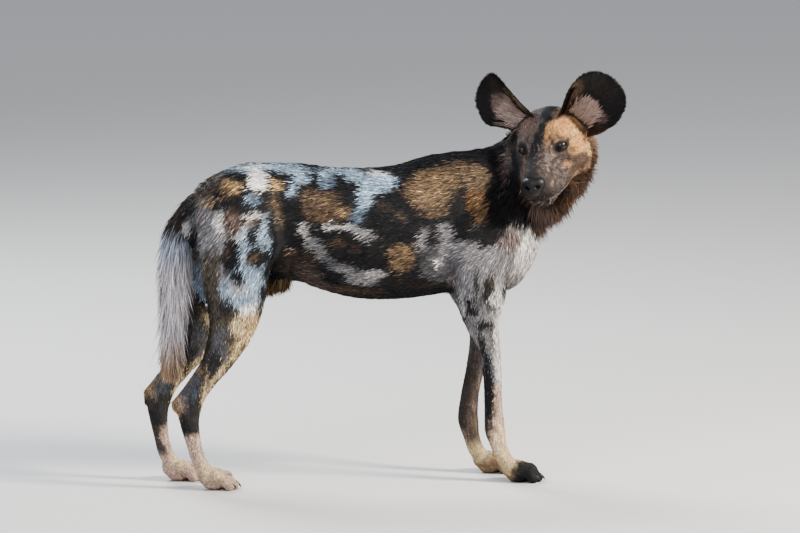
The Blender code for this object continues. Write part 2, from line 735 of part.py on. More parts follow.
def lock(root, way, out, length, wide, sag):
    """A flat tapered lock of hair: its root sunk against out, its tip bent down by sag."""
    way = way.normalized()
    side = way.cross(out).normalized()
    up = side.cross(way)
    rings = []
    for t, broad in ((-LOCK_SINK / length, 0.7), (0.30, 1.0), (0.68, 0.72)):
        centre = root + way * (length * t) - Vector((0, 0, sag * max(t, 0) ** 2))
        rings.append(ring(centre, side, up, wide * broad / 2, wide * LOCK_FLAT * broad / 2))
    return loft(rings, root + way * length - Vector((0, 0, sag)))


def fuse(obj, pieces):
    """Joins closed spikes to an object with one union."""
    group = bpy.data.collections.new("group")
    bpy.context.scene.collection.children.link(group)
    for points, faces in pieces:
        mesh = bpy.data.meshes.new("piece")
        mesh.from_pydata([tuple(p) for p in points], [], faces)
        bm = bmesh.new()
        bm.from_mesh(mesh)
        bmesh.ops.recalc_face_normals(bm, faces=bm.faces)
        bm.to_mesh(mesh)
        bm.free()
        group.objects.link(bpy.data.objects.new("piece", mesh))
    join = obj.modifiers.new("fuse", "BOOLEAN")
    join.operation, join.solver = "UNION", "EXACT"
    join.operand_type, join.collection = "COLLECTION", group
    apply_modifiers(obj)
    drop(*group.objects)
    bpy.data.collections.remove(group)
    return keep_largest(obj)


def scattered(obj, wanted, spacing, rng):
    """Places on the surface at least a spacing apart, with their normals, where wanted."""
    faces = sorted(obj.data.polygons, key=lambda f: tuple(f.center))
    rng.shuffle(faces)
    found = []
    for face in faces:
        if wanted(face.center) and all((face.center - p).length > spacing for p, _ in found):
            found.append((face.center.copy(), face.normal.copy()))
    return found


def in_head(point):
    return (np.array(point) - np.array(HEAD_AT)) @ head_axes().T


def has_ruff(point):
    """Whether the cheek or throat carries the ruff here."""
    x, y, z = in_head(point)
    cheek = -0.075 < x < -0.010 and abs(y) > 0.052 and z < -0.005
    throat = -0.075 < x < 0.050 and z < -0.085
    low = RUFF_LOWEST < point[2] and z < -0.110
    return (cheek or throat or low) and x < 0.075 - 0.3 * abs(y) and point[2] > RUFF_LOWEST


def ruff(head, rng):
    back = -Vector(head_axes()[0])
    pieces = []
    for root, out in scattered(head, has_ruff, RUFF_SPACING, rng):
        way = 0.45 * out + 0.25 * back + Vector((0, 0, -0.90))
        way += 0.10 * Vector([rng.uniform(-1, 1) for _ in range(3)])
        low = min(max((0.735 - root[2]) / 0.08, 0), 1)
        length = RUFF_LENGTH * (0.62 + 0.38 * low) * rng.uniform(0.85, 1.15)
        pieces.append(lock(root, way, out, length, RUFF_WIDE * rng.uniform(0.85, 1.15), 0.010))
    return pieces


def brush(rng):
    """The locks of the tail, ring after ring down its length."""
    rows = smooth_curve(TAIL, 4)[::3]
    pieces = []
    for k in range(BRUSH_FIRST, len(rows) - 1):
        x, y, z, r, w = rows[k]
        down = Vector(rows[k + 1][:3] - rows[k - 1][:3]).normalized()
        flare = BRUSH_FLARE * (1 - 0.75 * k / len(rows))
        for j in range(BRUSH_ROUND):
            turn = 2 * math.pi * (j + 0.5 * (k % 2) + rng.uniform(-0.15, 0.15)) / BRUSH_ROUND
            out = Vector((math.cos(turn), 0.75 * math.sin(turn), 0))
            root = Vector((x + math.cos(turn) * r * 0.8, y + math.sin(turn) * w * 0.8, z))
            length = BRUSH_LENGTH * rng.uniform(0.85, 1.1)
            pieces.append(lock(root, down + out * flare, out.normalized(), length, BRUSH_WIDE, 0.004))
    return pieces


def belly_tuft(rng):
    pieces = []
    for k in range(9):
        x, y = -0.205 + 0.005 * k, rng.uniform(-0.010, 0.010)
        way = Vector((rng.uniform(-0.3, 0.2), 2 * y, -1))
        pieces.append(lock(Vector((x, y, 0.460)), way, Vector((0, 1, 0)), 0.028, 0.014, 0))
    return pieces


def claws(sign, at, stagger):
    pieces = []
    base = Vector((at[0] + stagger, sign * at[1], 0))
    for y, back in TOES:
        rings = []
        for x, z, r in ((0.068, 0.0165, 0.0044), (0.080, 0.0150, 0.0036)):
            centre = base + Vector((x - back, 1.02 * y, z))
            rings.append(ring(centre, Vector((0, 1, 0)), Vector((0, 0, 1)), 0.8 * r, r))
        pieces.append(loft(rings, base + Vector((0.0895 - back, 1.04 * y, 0.0045))))
    return pieces


def eye_ball(name, sign, radius):
    bm = bmesh.new()
    place = to_world((EYE_AT[0], sign * EYE_AT[1], EYE_AT[2]))
    bmesh.ops.create_uvsphere(bm, u_segments=14, v_segments=8, radius=radius)
    turn = Matrix(head_axes().T.tolist()).to_4x4() @ Matrix.Rotation(math.pi / 2, 4, "Y")
    bmesh.ops.transform(bm, matrix=Matrix.Translation(place) @ turn, verts=bm.verts)
    mesh = bpy.data.meshes.new(name)
    bm.to_mesh(mesh)
    bm.free()
    obj = bpy.data.objects.new(name, mesh)
    bpy.context.scene.collection.objects.link(obj)
    return obj


def add_eyes(head):
    for side, sign in (("left", 1), ("right", -1)):
        socket = eye_ball("socket", sign, EYE_RADIUS + GAP)
        combine(head, socket, "DIFFERENCE")
        drop(socket)
        keep_largest(head)
        eye_ball(f"eye_{side}", sign, EYE_RADIUS)


def add_ears_and_nose(head, neck):
    for side in EARS:
        seat(seat(ear(side), head), neck)
    nose = seat(solid("nose", in_place(nose_pad()), 0.0012, NOSE_TRIANGLES), head)
    return nose


def add_tail(rng):
    tail = solid("tail", chain(TAIL), 0.0035, TAIL_TRIANGLES)
    fuse(tail, brush(rng))
    for name in ("torso", "thigh_left", "thigh_right", "hind_leg_left", "hind_leg_right"):
        seat(tail, bpy.data.objects[name])
    return thinned(tail, TIDY_SHARE)


def add_feet_claws():
    for side, sign in (("left", 1), ("right", -1)):
        for kind, at, stagger in (("hind", HIND_FOOT, HIND_STAGGER), ("fore", FORE_FOOT, FORE_STAGGER)):
            shift = stagger[1][0] if sign > 0 else 0
            fuse(bpy.data.objects[f"{kind}_foot_{side}"], claws(sign, at, shift))


def paint(obj):
    """Gives a node its own material, in the tone of that part of the coat."""
    key = next(k for k in TONES if obj.name.startswith(k))
    colour, rough = TONES[key]
    material = bpy.data.materials.new(f"{obj.name}_coat")
    material.use_nodes = True
    shader = material.node_tree.nodes["Principled BSDF"]
    shader.inputs["Base Color"].default_value = (*colour, 1)
    shader.inputs["Roughness"].default_value = rough
    obj.data.materials.clear()
    obj.data.materials.append(material)


def stand_on_origin():
    """Moves the whole animal so that its box stands on the origin."""
    ends = [obj.matrix_world @ v.co for obj in bpy.data.objects for v in obj.data.vertices]
    low = [min(p[k] for p in ends) for k in range(3)]
    high = [max(p[k] for p in ends) for k in range(3)]
    shift = Vector(((low[0] + high[0]) / 2, (low[1] + high[1]) / 2, low[2]))
    for obj in bpy.data.objects:
        obj.data.transform(Matrix.Translation(-shift))


def build():
    rng = random.Random(SEED)
    form = flesh()
    body = solid("torso", form, 0.005, BODY_TRIANGLES, *BODY_BOX)
    stock = solid("stock", form, 0.0028, HEAD_TRIANGLES, *HEAD_BOX)
    feet = feet_meshes(form)
    for side, sign in (("left", 1), ("right", -1)):
        leg_parts(body, feet, side, sign)
    drop(*feet.values())
    head = part(stock, "head", [HEAD_CUT])
    neck = part(stock, "neck", [NECK_CUT, other_side(HEAD_CUT)])
    drop(stock)
    keep_largest(without(body, [NECK_CUT]))
    add_eyes(head)
    add_ears_and_nose(head, neck)
    fuse(head, ruff(head, rng))
    region = block([HEAD_CUT], GAP / 2)
    keep_largest(combine(head, region, "INTERSECT"))
    drop(region)
    thinned(welded(head), TIDY_SHARE)
    thinned(welded(fuse(body, belly_tuft(rng))), TIDY_SHARE)
    add_tail(rng)
    add_feet_claws()
    for obj in bpy.data.objects:
        paint(obj)
    stand_on_origin()


for old in list(bpy.data.objects):
    bpy.data.objects.remove(old)
build()
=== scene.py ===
"""Looks of the standing wild dog: skin, coat, eyes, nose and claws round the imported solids."""

import math

import bmesh
import bpy
import numpy as np
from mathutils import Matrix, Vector


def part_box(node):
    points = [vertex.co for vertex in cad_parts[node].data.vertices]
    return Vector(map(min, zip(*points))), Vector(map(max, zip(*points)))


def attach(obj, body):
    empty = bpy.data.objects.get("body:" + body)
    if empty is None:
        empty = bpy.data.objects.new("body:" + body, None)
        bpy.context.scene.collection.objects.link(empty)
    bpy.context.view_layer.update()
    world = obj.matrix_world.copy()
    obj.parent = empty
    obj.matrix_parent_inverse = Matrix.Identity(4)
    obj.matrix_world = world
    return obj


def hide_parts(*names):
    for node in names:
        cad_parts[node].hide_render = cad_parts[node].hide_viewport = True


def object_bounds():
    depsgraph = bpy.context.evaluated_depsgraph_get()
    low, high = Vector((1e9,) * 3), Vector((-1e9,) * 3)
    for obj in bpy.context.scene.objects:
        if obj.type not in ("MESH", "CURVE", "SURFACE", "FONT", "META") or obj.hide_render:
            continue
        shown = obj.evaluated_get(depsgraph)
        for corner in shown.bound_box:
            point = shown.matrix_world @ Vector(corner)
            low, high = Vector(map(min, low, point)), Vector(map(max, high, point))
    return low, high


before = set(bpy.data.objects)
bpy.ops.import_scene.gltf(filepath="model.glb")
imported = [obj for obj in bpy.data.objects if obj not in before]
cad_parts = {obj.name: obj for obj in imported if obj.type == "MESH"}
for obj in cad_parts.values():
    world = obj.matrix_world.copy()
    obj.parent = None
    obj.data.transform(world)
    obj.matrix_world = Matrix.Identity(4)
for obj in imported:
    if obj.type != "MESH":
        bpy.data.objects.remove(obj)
cad_low, cad_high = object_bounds()

# Size of the grid that the skin is drawn on, in metres.
BODY_STEP, HEAD_STEP, NOSE_STEP = ((0.0035, 0.0017, 0.0009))
COAT_SHARE = 1.0
FAR, REACH = 1.0, 0.045

# Rows of a limb are x, y, z, radius fore and aft, half-width from side to side, as in the solids.
TRUNK = [
    (-0.362, 0, 0.600, 0.070, 0.055),
    (-0.335, 0, 0.607, 0.098, 0.072),
    (-0.276, 0, 0.610, 0.124, 0.085),
    (-0.200, 0, 0.606, 0.128, 0.082),
    (-0.150, 0, 0.602, 0.129, 0.085),
    (-0.080, 0, 0.582, 0.142, 0.098),
    (0.000, 0, 0.568, 0.151, 0.106),
    (0.080, 0, 0.569, 0.154, 0.110),
    (0.150, 0, 0.579, 0.156, 0.106),
    (0.200, 0, 0.585, 0.155, 0.098),
    (0.250, 0, 0.588, 0.148, 0.088),
    (0.298, 0, 0.547, 0.102, 0.073),
]
NECK = [
    (0.190, 0.000, 0.625, 0.100, 0.075),
    (0.270, 0.004, 0.646, 0.091, 0.072),
    (0.335, 0.012, 0.686, 0.081, 0.068),
    (0.385, 0.014, 0.730, 0.074, 0.064),
    (0.415, 0.000, 0.775, 0.070, 0.062),
]
FORELEG = [
    (0.254, -0.079, 0.430, 0.046, 0.033),
    (0.255, -0.080, 0.376, 0.041, 0.031),
    (0.266, -0.078, 0.335, 0.031, 0.026),
    (0.275, -0.076, 0.303, 0.0255, 0.0225),
    (0.281, -0.073, 0.245, 0.0220, 0.0200),
    (0.283, -0.071, 0.188, 0.0210, 0.0190),
    (0.286, -0.070, 0.140, 0.0230, 0.0215),
    (0.288, -0.070, 0.118, 0.0235, 0.0215),
    (0.296, -0.070, 0.085, 0.0190, 0.0190),
    (0.306, -0.070, 0.058, 0.0185, 0.0200),
    (0.318, -0.070, 0.040, 0.0180, 0.0220),
]
HIND_LEG = [
    (-0.310, -0.056, 0.625, 0.080, 0.0450),
    (-0.303, -0.074, 0.580, 0.092, 0.0460),
    (-0.3035, -0.079, 0.530, 0.087, 0.0430),
    (-0.308, -0.080, 0.476, 0.077, 0.0390),
    (-0.308, -0.081, 0.430, 0.068, 0.0360),
    (-0.316, -0.081, 0.372, 0.055, 0.0320),
    (-0.344, -0.079, 0.305, 0.038, 0.0260),
    (-0.371, -0.076, 0.262, 0.029, 0.0220),
    (-0.395, -0.073, 0.225, 0.026, 0.0190),
    (-0.412, -0.070, 0.190, 0.029, 0.0205),
    (-0.411, -0.070, 0.150, 0.022, 0.0190),
    (-0.402, -0.070, 0.105, 0.0175, 0.0170),
    (-0.391, -0.070, 0.068, 0.0170, 0.0175),
    (-0.376, -0.070, 0.042, 0.0170, 0.0210),
]
TAIL = [
    (-0.345, 0, 0.655, 0.024, 0.024),
    (-0.368, 0, 0.655, 0.022, 0.020),
    (-0.394, 0, 0.636, 0.018, 0.016),
    (-0.417, 0, 0.600, 0.015, 0.014),
    (-0.427, 0, 0.550, 0.013, 0.012),
    (-0.431, 0, 0.490, 0.012, 0.010),
    (-0.435, 0, 0.420, 0.010, 0.009),
    (-0.440, 0, 0.340, 0.008, 0.007),
    (-0.443, 0, 0.290, 0.004, 0.004),
]
FORE_STAGGER = ((0, 0.147, 0.216, 0.335, 0.43), (-0.042, -0.037, -0.023, 0.012, 0.020))
HIND_STAGGER = ((0, 0.19, 0.45, 0.64), (-0.062, -0.050, -0.020, 0))
FORE_FOOT = (0.318, 0.070)
HIND_FOOT = (-0.379, 0.070)
TOES = ((-0.0105, 0), (0.0105, 0), (-0.0285, 0.014), (0.0285, 0.014))
CLAW_PATH = ((0.064, 0.0155), (0.0705, 0.0160), (0.0765, 0.0140), (0.0808, 0.0095), (0.0832, 0.0045))
CLAW_RADII = (0.0036, 0.0035, 0.0029, 0.0019, 0.0005)
WHISKERS_A_SIDE, WHISKER_RADII = 16, (0.00028, 0.00024, 0.00016, 0.00004)

# The head's own frame has x to the nose, y to its left and z up.
HEAD_AT = (0.422, -0.050, 0.775)
HEAD_YAW, HEAD_PITCH, HEAD_ROLL = -119.0, -14.5, 8.8
EYE_AT = (0.064, 0.0465, 0.011)
EYE_RADIUS, LID = 0.0118, 0.0026
# An ear's side, root, lean and turn in degrees, and length, and its half-widths by height.
EAR_THICK = 0.0045
EARS = {
    "left": (1, (-0.022, 0.063, 0.040), 53, 19, 1.00),
    "right": (-1, (-0.022, -0.057, 0.050), 45, 15, 1.04),
}
EAR_RADIUS = ((-0.03, 0, 0.03, 0.07, 0.15), (0.040, 0.044, 0.055, 0.075, 0.112))
EAR_HEIGHTS = (-0.03, 0, 0.03, 0.062)
EAR_INNER = (0.048, 0.062, 0.078, 0.084)
EAR_OUTER = {"left": (0.046, 0.057, 0.073, 0.078), "right": (0.030, 0.037, 0.050, 0.068)}
EAR_TOP, EAR_ROUND = 0.066, 2.2
TORN_AT, TORN_SIZE = (-0.062, 0.098), 0.0055
HEAD_CUT = ((0.385, 0.010, 0.700), (0.80, -0.55, 0.22))
BODY_BOX = ((-0.50, -0.16, -0.012), (0.46, 0.16, 0.81))
HEAD_BOX = ((0.21, -0.26, 0.50), (0.65, 0.20, 0.97))

# The photograph's view: the directions right, up and back in space, and where they fall in pixels.
AZIMUTH, ELEVATION = math.radians(-9.0), math.radians(8.0)
PER_METRE, CENTRE, CAMERA_BACK = 440.0, (365.0, 480.4), 24.0
LEVEL = math.cos(ELEVATION)
VIEW_BACK = np.array([math.sin(AZIMUTH) * LEVEL, -math.cos(AZIMUTH) * LEVEL, math.sin(ELEVATION)])
VIEW_RIGHT = np.array([math.cos(AZIMUTH), math.sin(AZIMUTH), 0])
VIEW_UP = np.cross(VIEW_BACK, VIEW_RIGHT)

# Tones of the coat.
TONE = {
    "black": (0.008, 0.008, 0.010),
    "soot": (0.018, 0.016, 0.016),
    "dark": (0.036, 0.025, 0.018),
    "brown": (0.078, 0.050, 0.034),
    "umber": (0.125, 0.085, 0.053),
    "tan": (0.260, 0.175, 0.100),
    "gold": (0.440, 0.300, 0.150),
    "rust": (0.150, 0.078, 0.036),
    "cream": (0.620, 0.480, 0.290),
    "grey": (0.095, 0.092, 0.098),
    "ash": (0.215, 0.205, 0.210),
    "white": (0.600, 0.570, 0.550),
    "snow": (0.800, 0.770, 0.740),
    # The next two tones are white and grey hair with painted blue sky shade in them.
    "blue": (0.310, 0.400, 0.490),
    "slate": (0.110, 0.145, 0.190),
    "pink": (0.480, 0.345, 0.270),
    "olive": (0.085, 0.068, 0.048),
    "peach": (0.500, 0.265, 0.115),
    "rose": (0.330, 0.215, 0.175),
    "mauve": (0.170, 0.122, 0.108),
    "smoke": (0.092, 0.068, 0.060),
    "mole": (0.045, 0.034, 0.031),
}
HEAD_TONE = {
    "right": (0.210, 0.150, 0.120),
    "left": (0.40, 0.235, 0.120),
    "crown": (0.13, 0.100, 0.085),
    "nape": (0.060, 0.043, 0.035),
    "left_cheek": (0.26, 0.155, 0.095),
    "right_cheek": (0.13, 0.092, 0.075),
    "left_muzzle": (0.088, 0.062, 0.052),
    "right_muzzle": (0.075, 0.055, 0.048),
    "nose_rim": (0.035, 0.025, 0.021),
    "speckle": (0.230, 0.170, 0.150),
    "fleck": (0.020, 0.014, 0.013),
    "eye_rim": (0.014, 0.010, 0.009),
    "jaw": (0.070, 0.040, 0.025),
    # The lip tone is a painted highlight on the lower lip's rim.
    "lip": (0.34, 0.28, 0.25),
    "mouth": (0.008, 0.006, 0.006),
    "ruff": (0.085, 0.046, 0.026),
    "ear": (0.012, 0.009, 0.008),
    "ear_edge": (0.060, 0.036, 0.022),
}
LIMB_TONE = {
    "far_foreleg": (0.045, 0.032, 0.026),
    # The toe groove tone is painted shade.
    "toe_groove_shade": (0.055, 0.040, 0.032),
    "tail": (0.50, 0.46, 0.45),
    "tail_end": (0.36, 0.26, 0.19),
}
LONG_TONE = {
    "ruff_low": (0.048, 0.025, 0.015),
    "ruff_high": (0.130, 0.078, 0.052),
    "ruff_right": (0.060, 0.040, 0.033),
    "ruff_light": (0.24, 0.145, 0.085),
    "brush": (0.54, 0.50, 0.51),
    "brush_end": (0.38, 0.27, 0.18),
    # The bluish brush tone is pale hair with painted blue sky shade in it.
    "brush_sky_shade": (0.36, 0.42, 0.50),
    "brush_root": (0.040, 0.028, 0.021),
    "ear_inside": (0.42, 0.32, 0.28),
    "ear_rim": (0.060, 0.036, 0.022),
    "belly": (0.16, 0.105, 0.055),
}
# Tones of the eye, from its ball to its middle.
EYE_TONE = {
    "ball": (0.008, 0.006, 0.005),
    "iris": (0.026, 0.012, 0.006),
    "iris_middle": (0.012, 0.006, 0.004),
    "pupil": (0.002, 0.002, 0.002),
}

FLOOR_SIZE = 60.0
PICTURE_WIDTH, PICTURE_CENTRE, SENSOR = 800, (400, 266.5), 36

# Sizes and numbers of the tufts.
TUFTS_PER_PIECE = 30000
TUFT_FOLD = 0.25
ROOT_SUNK = 0.0008
BAKE_PATCH = 0.003
RUFF_PER_AREA = 240000.0
TAIL_TUFTS, EAR_TUFTS, BELLY_TUFTS = 12500, 900, 1500

# Blotches of the right side: place and radii in the photograph's pixels, tilt in degrees, tone, strength.
# The bluish blotches carry painted sky shade on white and grey hair.
BLOTCHES = [
    # Grounds of the limbs and chest.
    (470, 262, 32, 38, 0, "ash", 1), (505, 262, 24, 44, 0, "ash", 1), (512, 236, 12, 14, 0, "mauve", 0.7),
    # The white band down the chest front at (526, 262) is partly the pale chest and partly painted sunlight
    # on its front.
    (526, 262, 12, 40, 10, "white", 0.9), (516, 285, 10, 14, 20, "ash", 1),
    (500, 236, 10, 8, 0, "mauve", 0.5), (492, 340, 28, 56, 0, "ash", 1),
    (501, 350, 8, 66, -3, "white", 0.9), (500, 424, 24, 40, 0, "pink", 1),
    (490, 470, 44, 26, 0, "tan", 1), (506, 446, 14, 26, 0, "cream", 0.7), (208, 258, 42, 62, 0, "ash", 1),
    (225, 350, 36, 42, 0, "olive", 1), (194, 408, 26, 46, 0, "tan", 0.9),
    (206, 450, 26, 22, 0, "pink", 1), (200, 474, 54, 22, 0, "pink", 1),
    (214, 462, 14, 14, 0, "cream", 0.9), (200, 404, 17, 30, 4, "grey", 1),
    (196, 412, 12, 22, 8, "soot", 0.8),
    # Rump.
    (203, 188, 30, 12, -38, "umber", 0.7), (190, 205, 12, 16, -30, "soot", 0.9),
    (214, 182, 12, 7, -38, "dark", 0.8), (268, 165, 36, 4.5, -1, "blue", 1),
    # The thin snow streak at (258, 164) is a painted highlight on the top edge of the blue band below it.
    (258, 164, 16, 3, -1, "snow", 0.5), (301, 169, 12, 3.5, 6, "blue", 0.9),
    (234, 184, 12, 10, -10, "umber", 1), (238, 183, 6, 6, -20, "gold", 0.9),
    (228, 179, 3, 5, 10, "gold", 0.6), (261, 180, 11, 10, 25, "snow", 1),
    (255, 198, 9, 7, 10, "slate", 1), (251, 196, 4, 5, 0, "blue", 0.8),
    (282, 184, 6.5, 6, 0, "gold", 0.9), (303, 176, 9, 5, 10, "blue", 0.9),
    (297, 187, 4, 9, 8, "blue", 0.9), (214, 199, 11, 2.6, -10, "gold", 0.8),
    (218, 205, 24, 4, -5, "black", 1), (272, 197, 8, 7, 0, "black", 0.9),
    # Back and flank.
    (352, 167, 28, 3.4, 2, "blue", 1), (331, 178, 8, 9, 10, "slate", 1), (327, 172, 5, 4, 0, "blue", 0.8),
    (381, 181, 19, 11, -10, "blue", 1), (360, 174, 10, 5, 0, "blue", 0.9),
    # The thin snow streak at (379, 171) is a painted highlight along the back's top edge.
    (379, 171, 12, 3, 4, "snow", 0.9), (367, 197, 7.5, 13, 14, "blue", 0.95),
    (361, 214, 4.5, 9, 26, "slate", 1), (348, 187, 11, 12, 12, "black", 1),
    (370, 167, 9, 2.5, 4, "black", 0.9), (329, 204, 25, 16, 10, "brown", 1),
    (331, 200, 11, 6, 14, "tan", 0.4), (345, 209, 9, 5, 20, "tan", 0.6),
    (312, 196, 5, 9, 0, "umber", 0.7), (322, 216, 9, 4, 0, "umber", 0.6),
    (350, 192, 9, 11, 14, "black", 0.9), (299, 218, 8, 22, 0, "black", 0.9),
    (387, 204, 7, 5, 20, "brown", 0.5), (402, 214, 6, 4, 20, "umber", 0.35),
    (412, 222, 7, 4, 30, "brown", 0.5), (343, 227, 19, 2.6, 3, "white", 0.9),
    (368, 236, 13, 6, 28, "ash", 1), (372, 238, 8, 3, 28, "white", 0.7),
    (308, 234, 3.5, 9, -18, "white", 0.8), (321, 251, 7, 15, -44, "ash", 0.9),
    (342, 268, 18, 8, 36, "grey", 1), (352, 275, 15, 6, 24, "ash", 0.8), (303, 270, 20, 22, 0, "dark", 1),
    (312, 276, 14, 9, 30, "smoke", 0.8), (295, 253, 2.6, 1.5, 20, "pink", 0.6),
    (346, 252, 18, 13, 14, "black", 1), (340, 246, 8, 6, 12, "brown", 0.8),
    (357, 254, 6, 5, 0, "brown", 0.6), (384, 250, 12, 12, 0, "soot", 0.8), (367, 281, 22, 7, 4, "ash", 1),
    (380, 277, 10, 5, 0, "white", 0.5), (341, 279, 8, 5, 0, "black", 1),
    (345, 293, 36, 4, 4, "brown", 0.9), (320, 288, 16, 5, 14, "smoke", 0.9),
    (404, 261, 12, 14, -16, "umber", 1), (408, 255, 7, 8, -16, "tan", 0.7),
    (398, 268, 6, 5, 0, "tan", 0.5), (404, 284, 22, 8, 0, "soot", 1), (440, 264, 20, 22, 0, "grey", 0.95),
    (450, 250, 10, 10, 0, "ash", 0.7), (426, 236, 6, 14, 14, "ash", 1), (450, 234, 13, 9, 0, "ash", 1),
    (424, 262, 4, 8, 0, "soot", 0.7), (426, 284, 9, 8, 0, "soot", 1), (436, 238, 5.5, 10, 8, "black", 1),
    (441, 265, 2.6, 4, 10, "snow", 0.8), (437, 288, 26, 3, -4, "dark", 0.8),
    (452, 276, 6, 6, 0, "smoke", 0.6),
    # Shoulder, neck and collar.
    (436, 184, 29, 19, -8, "umber", 1), (434, 203, 17, 12, 20, "umber", 1),
    (452, 168, 28, 7, -12, "umber", 0.9), (432, 186, 17, 14, 20, "tan", 0.6),
    (452, 176, 14, 9, 0, "tan", 0.5), (480, 196, 11, 26, -4, "rust", 1),
    (478, 176, 12, 14, 0, "umber", 1), (483, 208, 6, 16, -6, "tan", 0.4),
    (466, 206, 4, 18, -25, "soot", 0.85), (466, 224, 12, 13, 0, "black", 1),
    (420, 224, 14, 6, 10, "black", 1), (470, 236, 14, 6, 0, "black", 1),
    (440, 153, 50, 4, -14, "black", 1), (492, 150, 9, 14, 0, "black", 1),
    (499, 176, 8, 26, -4, "black", 1), (499, 208, 11, 26, 0, "black", 1),
    (489, 232, 11, 11, 30, "black", 1), (514, 200, 12, 14, 0, "soot", 1),
    (507, 157, 6, 12, 10, "mauve", 0.9), (506, 176, 5, 12, 0, "smoke", 0.9),
    # Thigh.
    (206, 226, 13, 24, 0, "ash", 1), (204, 216, 6, 9, 0, "mauve", 0.5),
    (223, 222, 6, 13, 0, "white", 0.9), (218, 240, 9, 11, 0, "ash", 1),
    (214, 258, 13, 10, 0, "olive", 0.8), (213, 290, 11, 30, 0, "olive", 0.95),
    (196, 262, 7, 54, 0, "black", 1), (260, 225, 26, 22, 0, "black", 0.9),
    (237, 217, 10, 12, 0, "brown", 1), (237, 217, 6, 7, 0, "mauve", 0.7),
    (258, 212, 10, 4.5, 6, "white", 0.95), (249, 226, 4, 12, 26, "white", 0.95),
    (253, 224, 7, 5, 0, "umber", 0.9), (243, 236, 6, 6, 0, "white", 0.9),
    (252, 260, 16, 32, 0, "blue", 0.7), (256, 236, 6.5, 11, 14, "black", 1),
    (267, 232, 3.2, 15, 6, "blue", 1), (275, 232, 4, 26, 0, "black", 1),
    (280, 206, 5, 17, -4, "umber", 0.9), (234, 256, 9.5, 19, 6, "black", 1),
    (232, 252, 4, 7, 10, "brown", 0.8), (260, 257, 12.5, 10.5, -24, "black", 1),
    (257, 256, 6, 4, -20, "umber", 0.8), (248, 262, 3, 15, 8, "blue", 0.9),
    (270, 244, 3, 8, 0, "blue", 0.8), (247, 289, 24, 21, 0, "blue", 0.7),
    (240, 286, 9, 8, 0, "rose", 0.4), (250, 292, 6, 5, 0, "white", 0.5),
    (240, 277, 6.5, 7.5, -30, "black", 1), (250, 309, 11, 6.5, -16, "snow", 1),
    (267, 294, 4.5, 14, 8, "black", 1), (227, 308, 7, 8, 0, "soot", 0.9),
    (263, 306, 6, 7, 10, "olive", 0.8),
    # Hind leg.
    (248, 328, 19, 15, -30, "cream", 0.85), (254, 322, 10, 8, -30, "gold", 0.5),
    (240, 348, 15, 12, -30, "gold", 0.4), (221, 352, 10, 26, 20, "grey", 0.95),
    (213, 372, 7, 22, 22, "soot", 0.9), (208, 330, 6, 42, 2, "soot", 0.9),
    (232, 340, 5, 7, -20, "olive", 0.8), (226, 366, 3, 30, 36, "cream", 0.8),
    (198, 398, 7, 17, 14, "soot", 0.85), (196, 394, 3, 9, 14, "slate", 0.5),
    (207, 388, 1.8, 18, 8, "cream", 0.7), (178, 400, 3, 10, -24, "tan", 0.8),
    (184, 404, 3.5, 7, -30, "pink", 0.5), (187, 424, 9, 9, -20, "soot", 1),
    (190, 434, 9, 3, 0, "black", 1), (207, 416, 3.5, 24, -6, "cream", 0.9),
    (199, 414, 2.6, 14, 0, "dark", 0.6),
    # Foreleg.
    (476, 281, 2.8, 17, 4, "black", 0.9), (489, 285, 7, 15, 12, "dark", 1),
    (488, 287, 4.5, 10, 14, "black", 0.8), (507, 289, 4.5, 7, 0, "soot", 1),
    (508, 276, 4.5, 3.5, 0, "brown", 0.9), (480, 303, 3, 7, 0, "grey", 0.8),
    (474, 314, 8, 4, 16, "black", 1), (486, 328, 10, 4.5, 12, "black", 1),
    (492, 308, 5, 4, 0, "soot", 0.8), (484, 352, 3.4, 22, -14, "black", 1),
    (487, 392, 6.5, 36, 0, "black", 1), (477, 356, 5, 28, -2, "umber", 0.95),
    (494, 300, 5, 6, 0, "white", 0.7), (462, 304, 3, 12, 0, "white", 0.7),
    (492, 342, 2.4, 14, -12, "smoke", 0.6), (484, 428, 7, 12, 0, "dark", 0.9),
    (484, 452, 8, 16, 0, "smoke", 0.7), (517, 474, 7, 4.5, 0, "soot", 0.7),
]

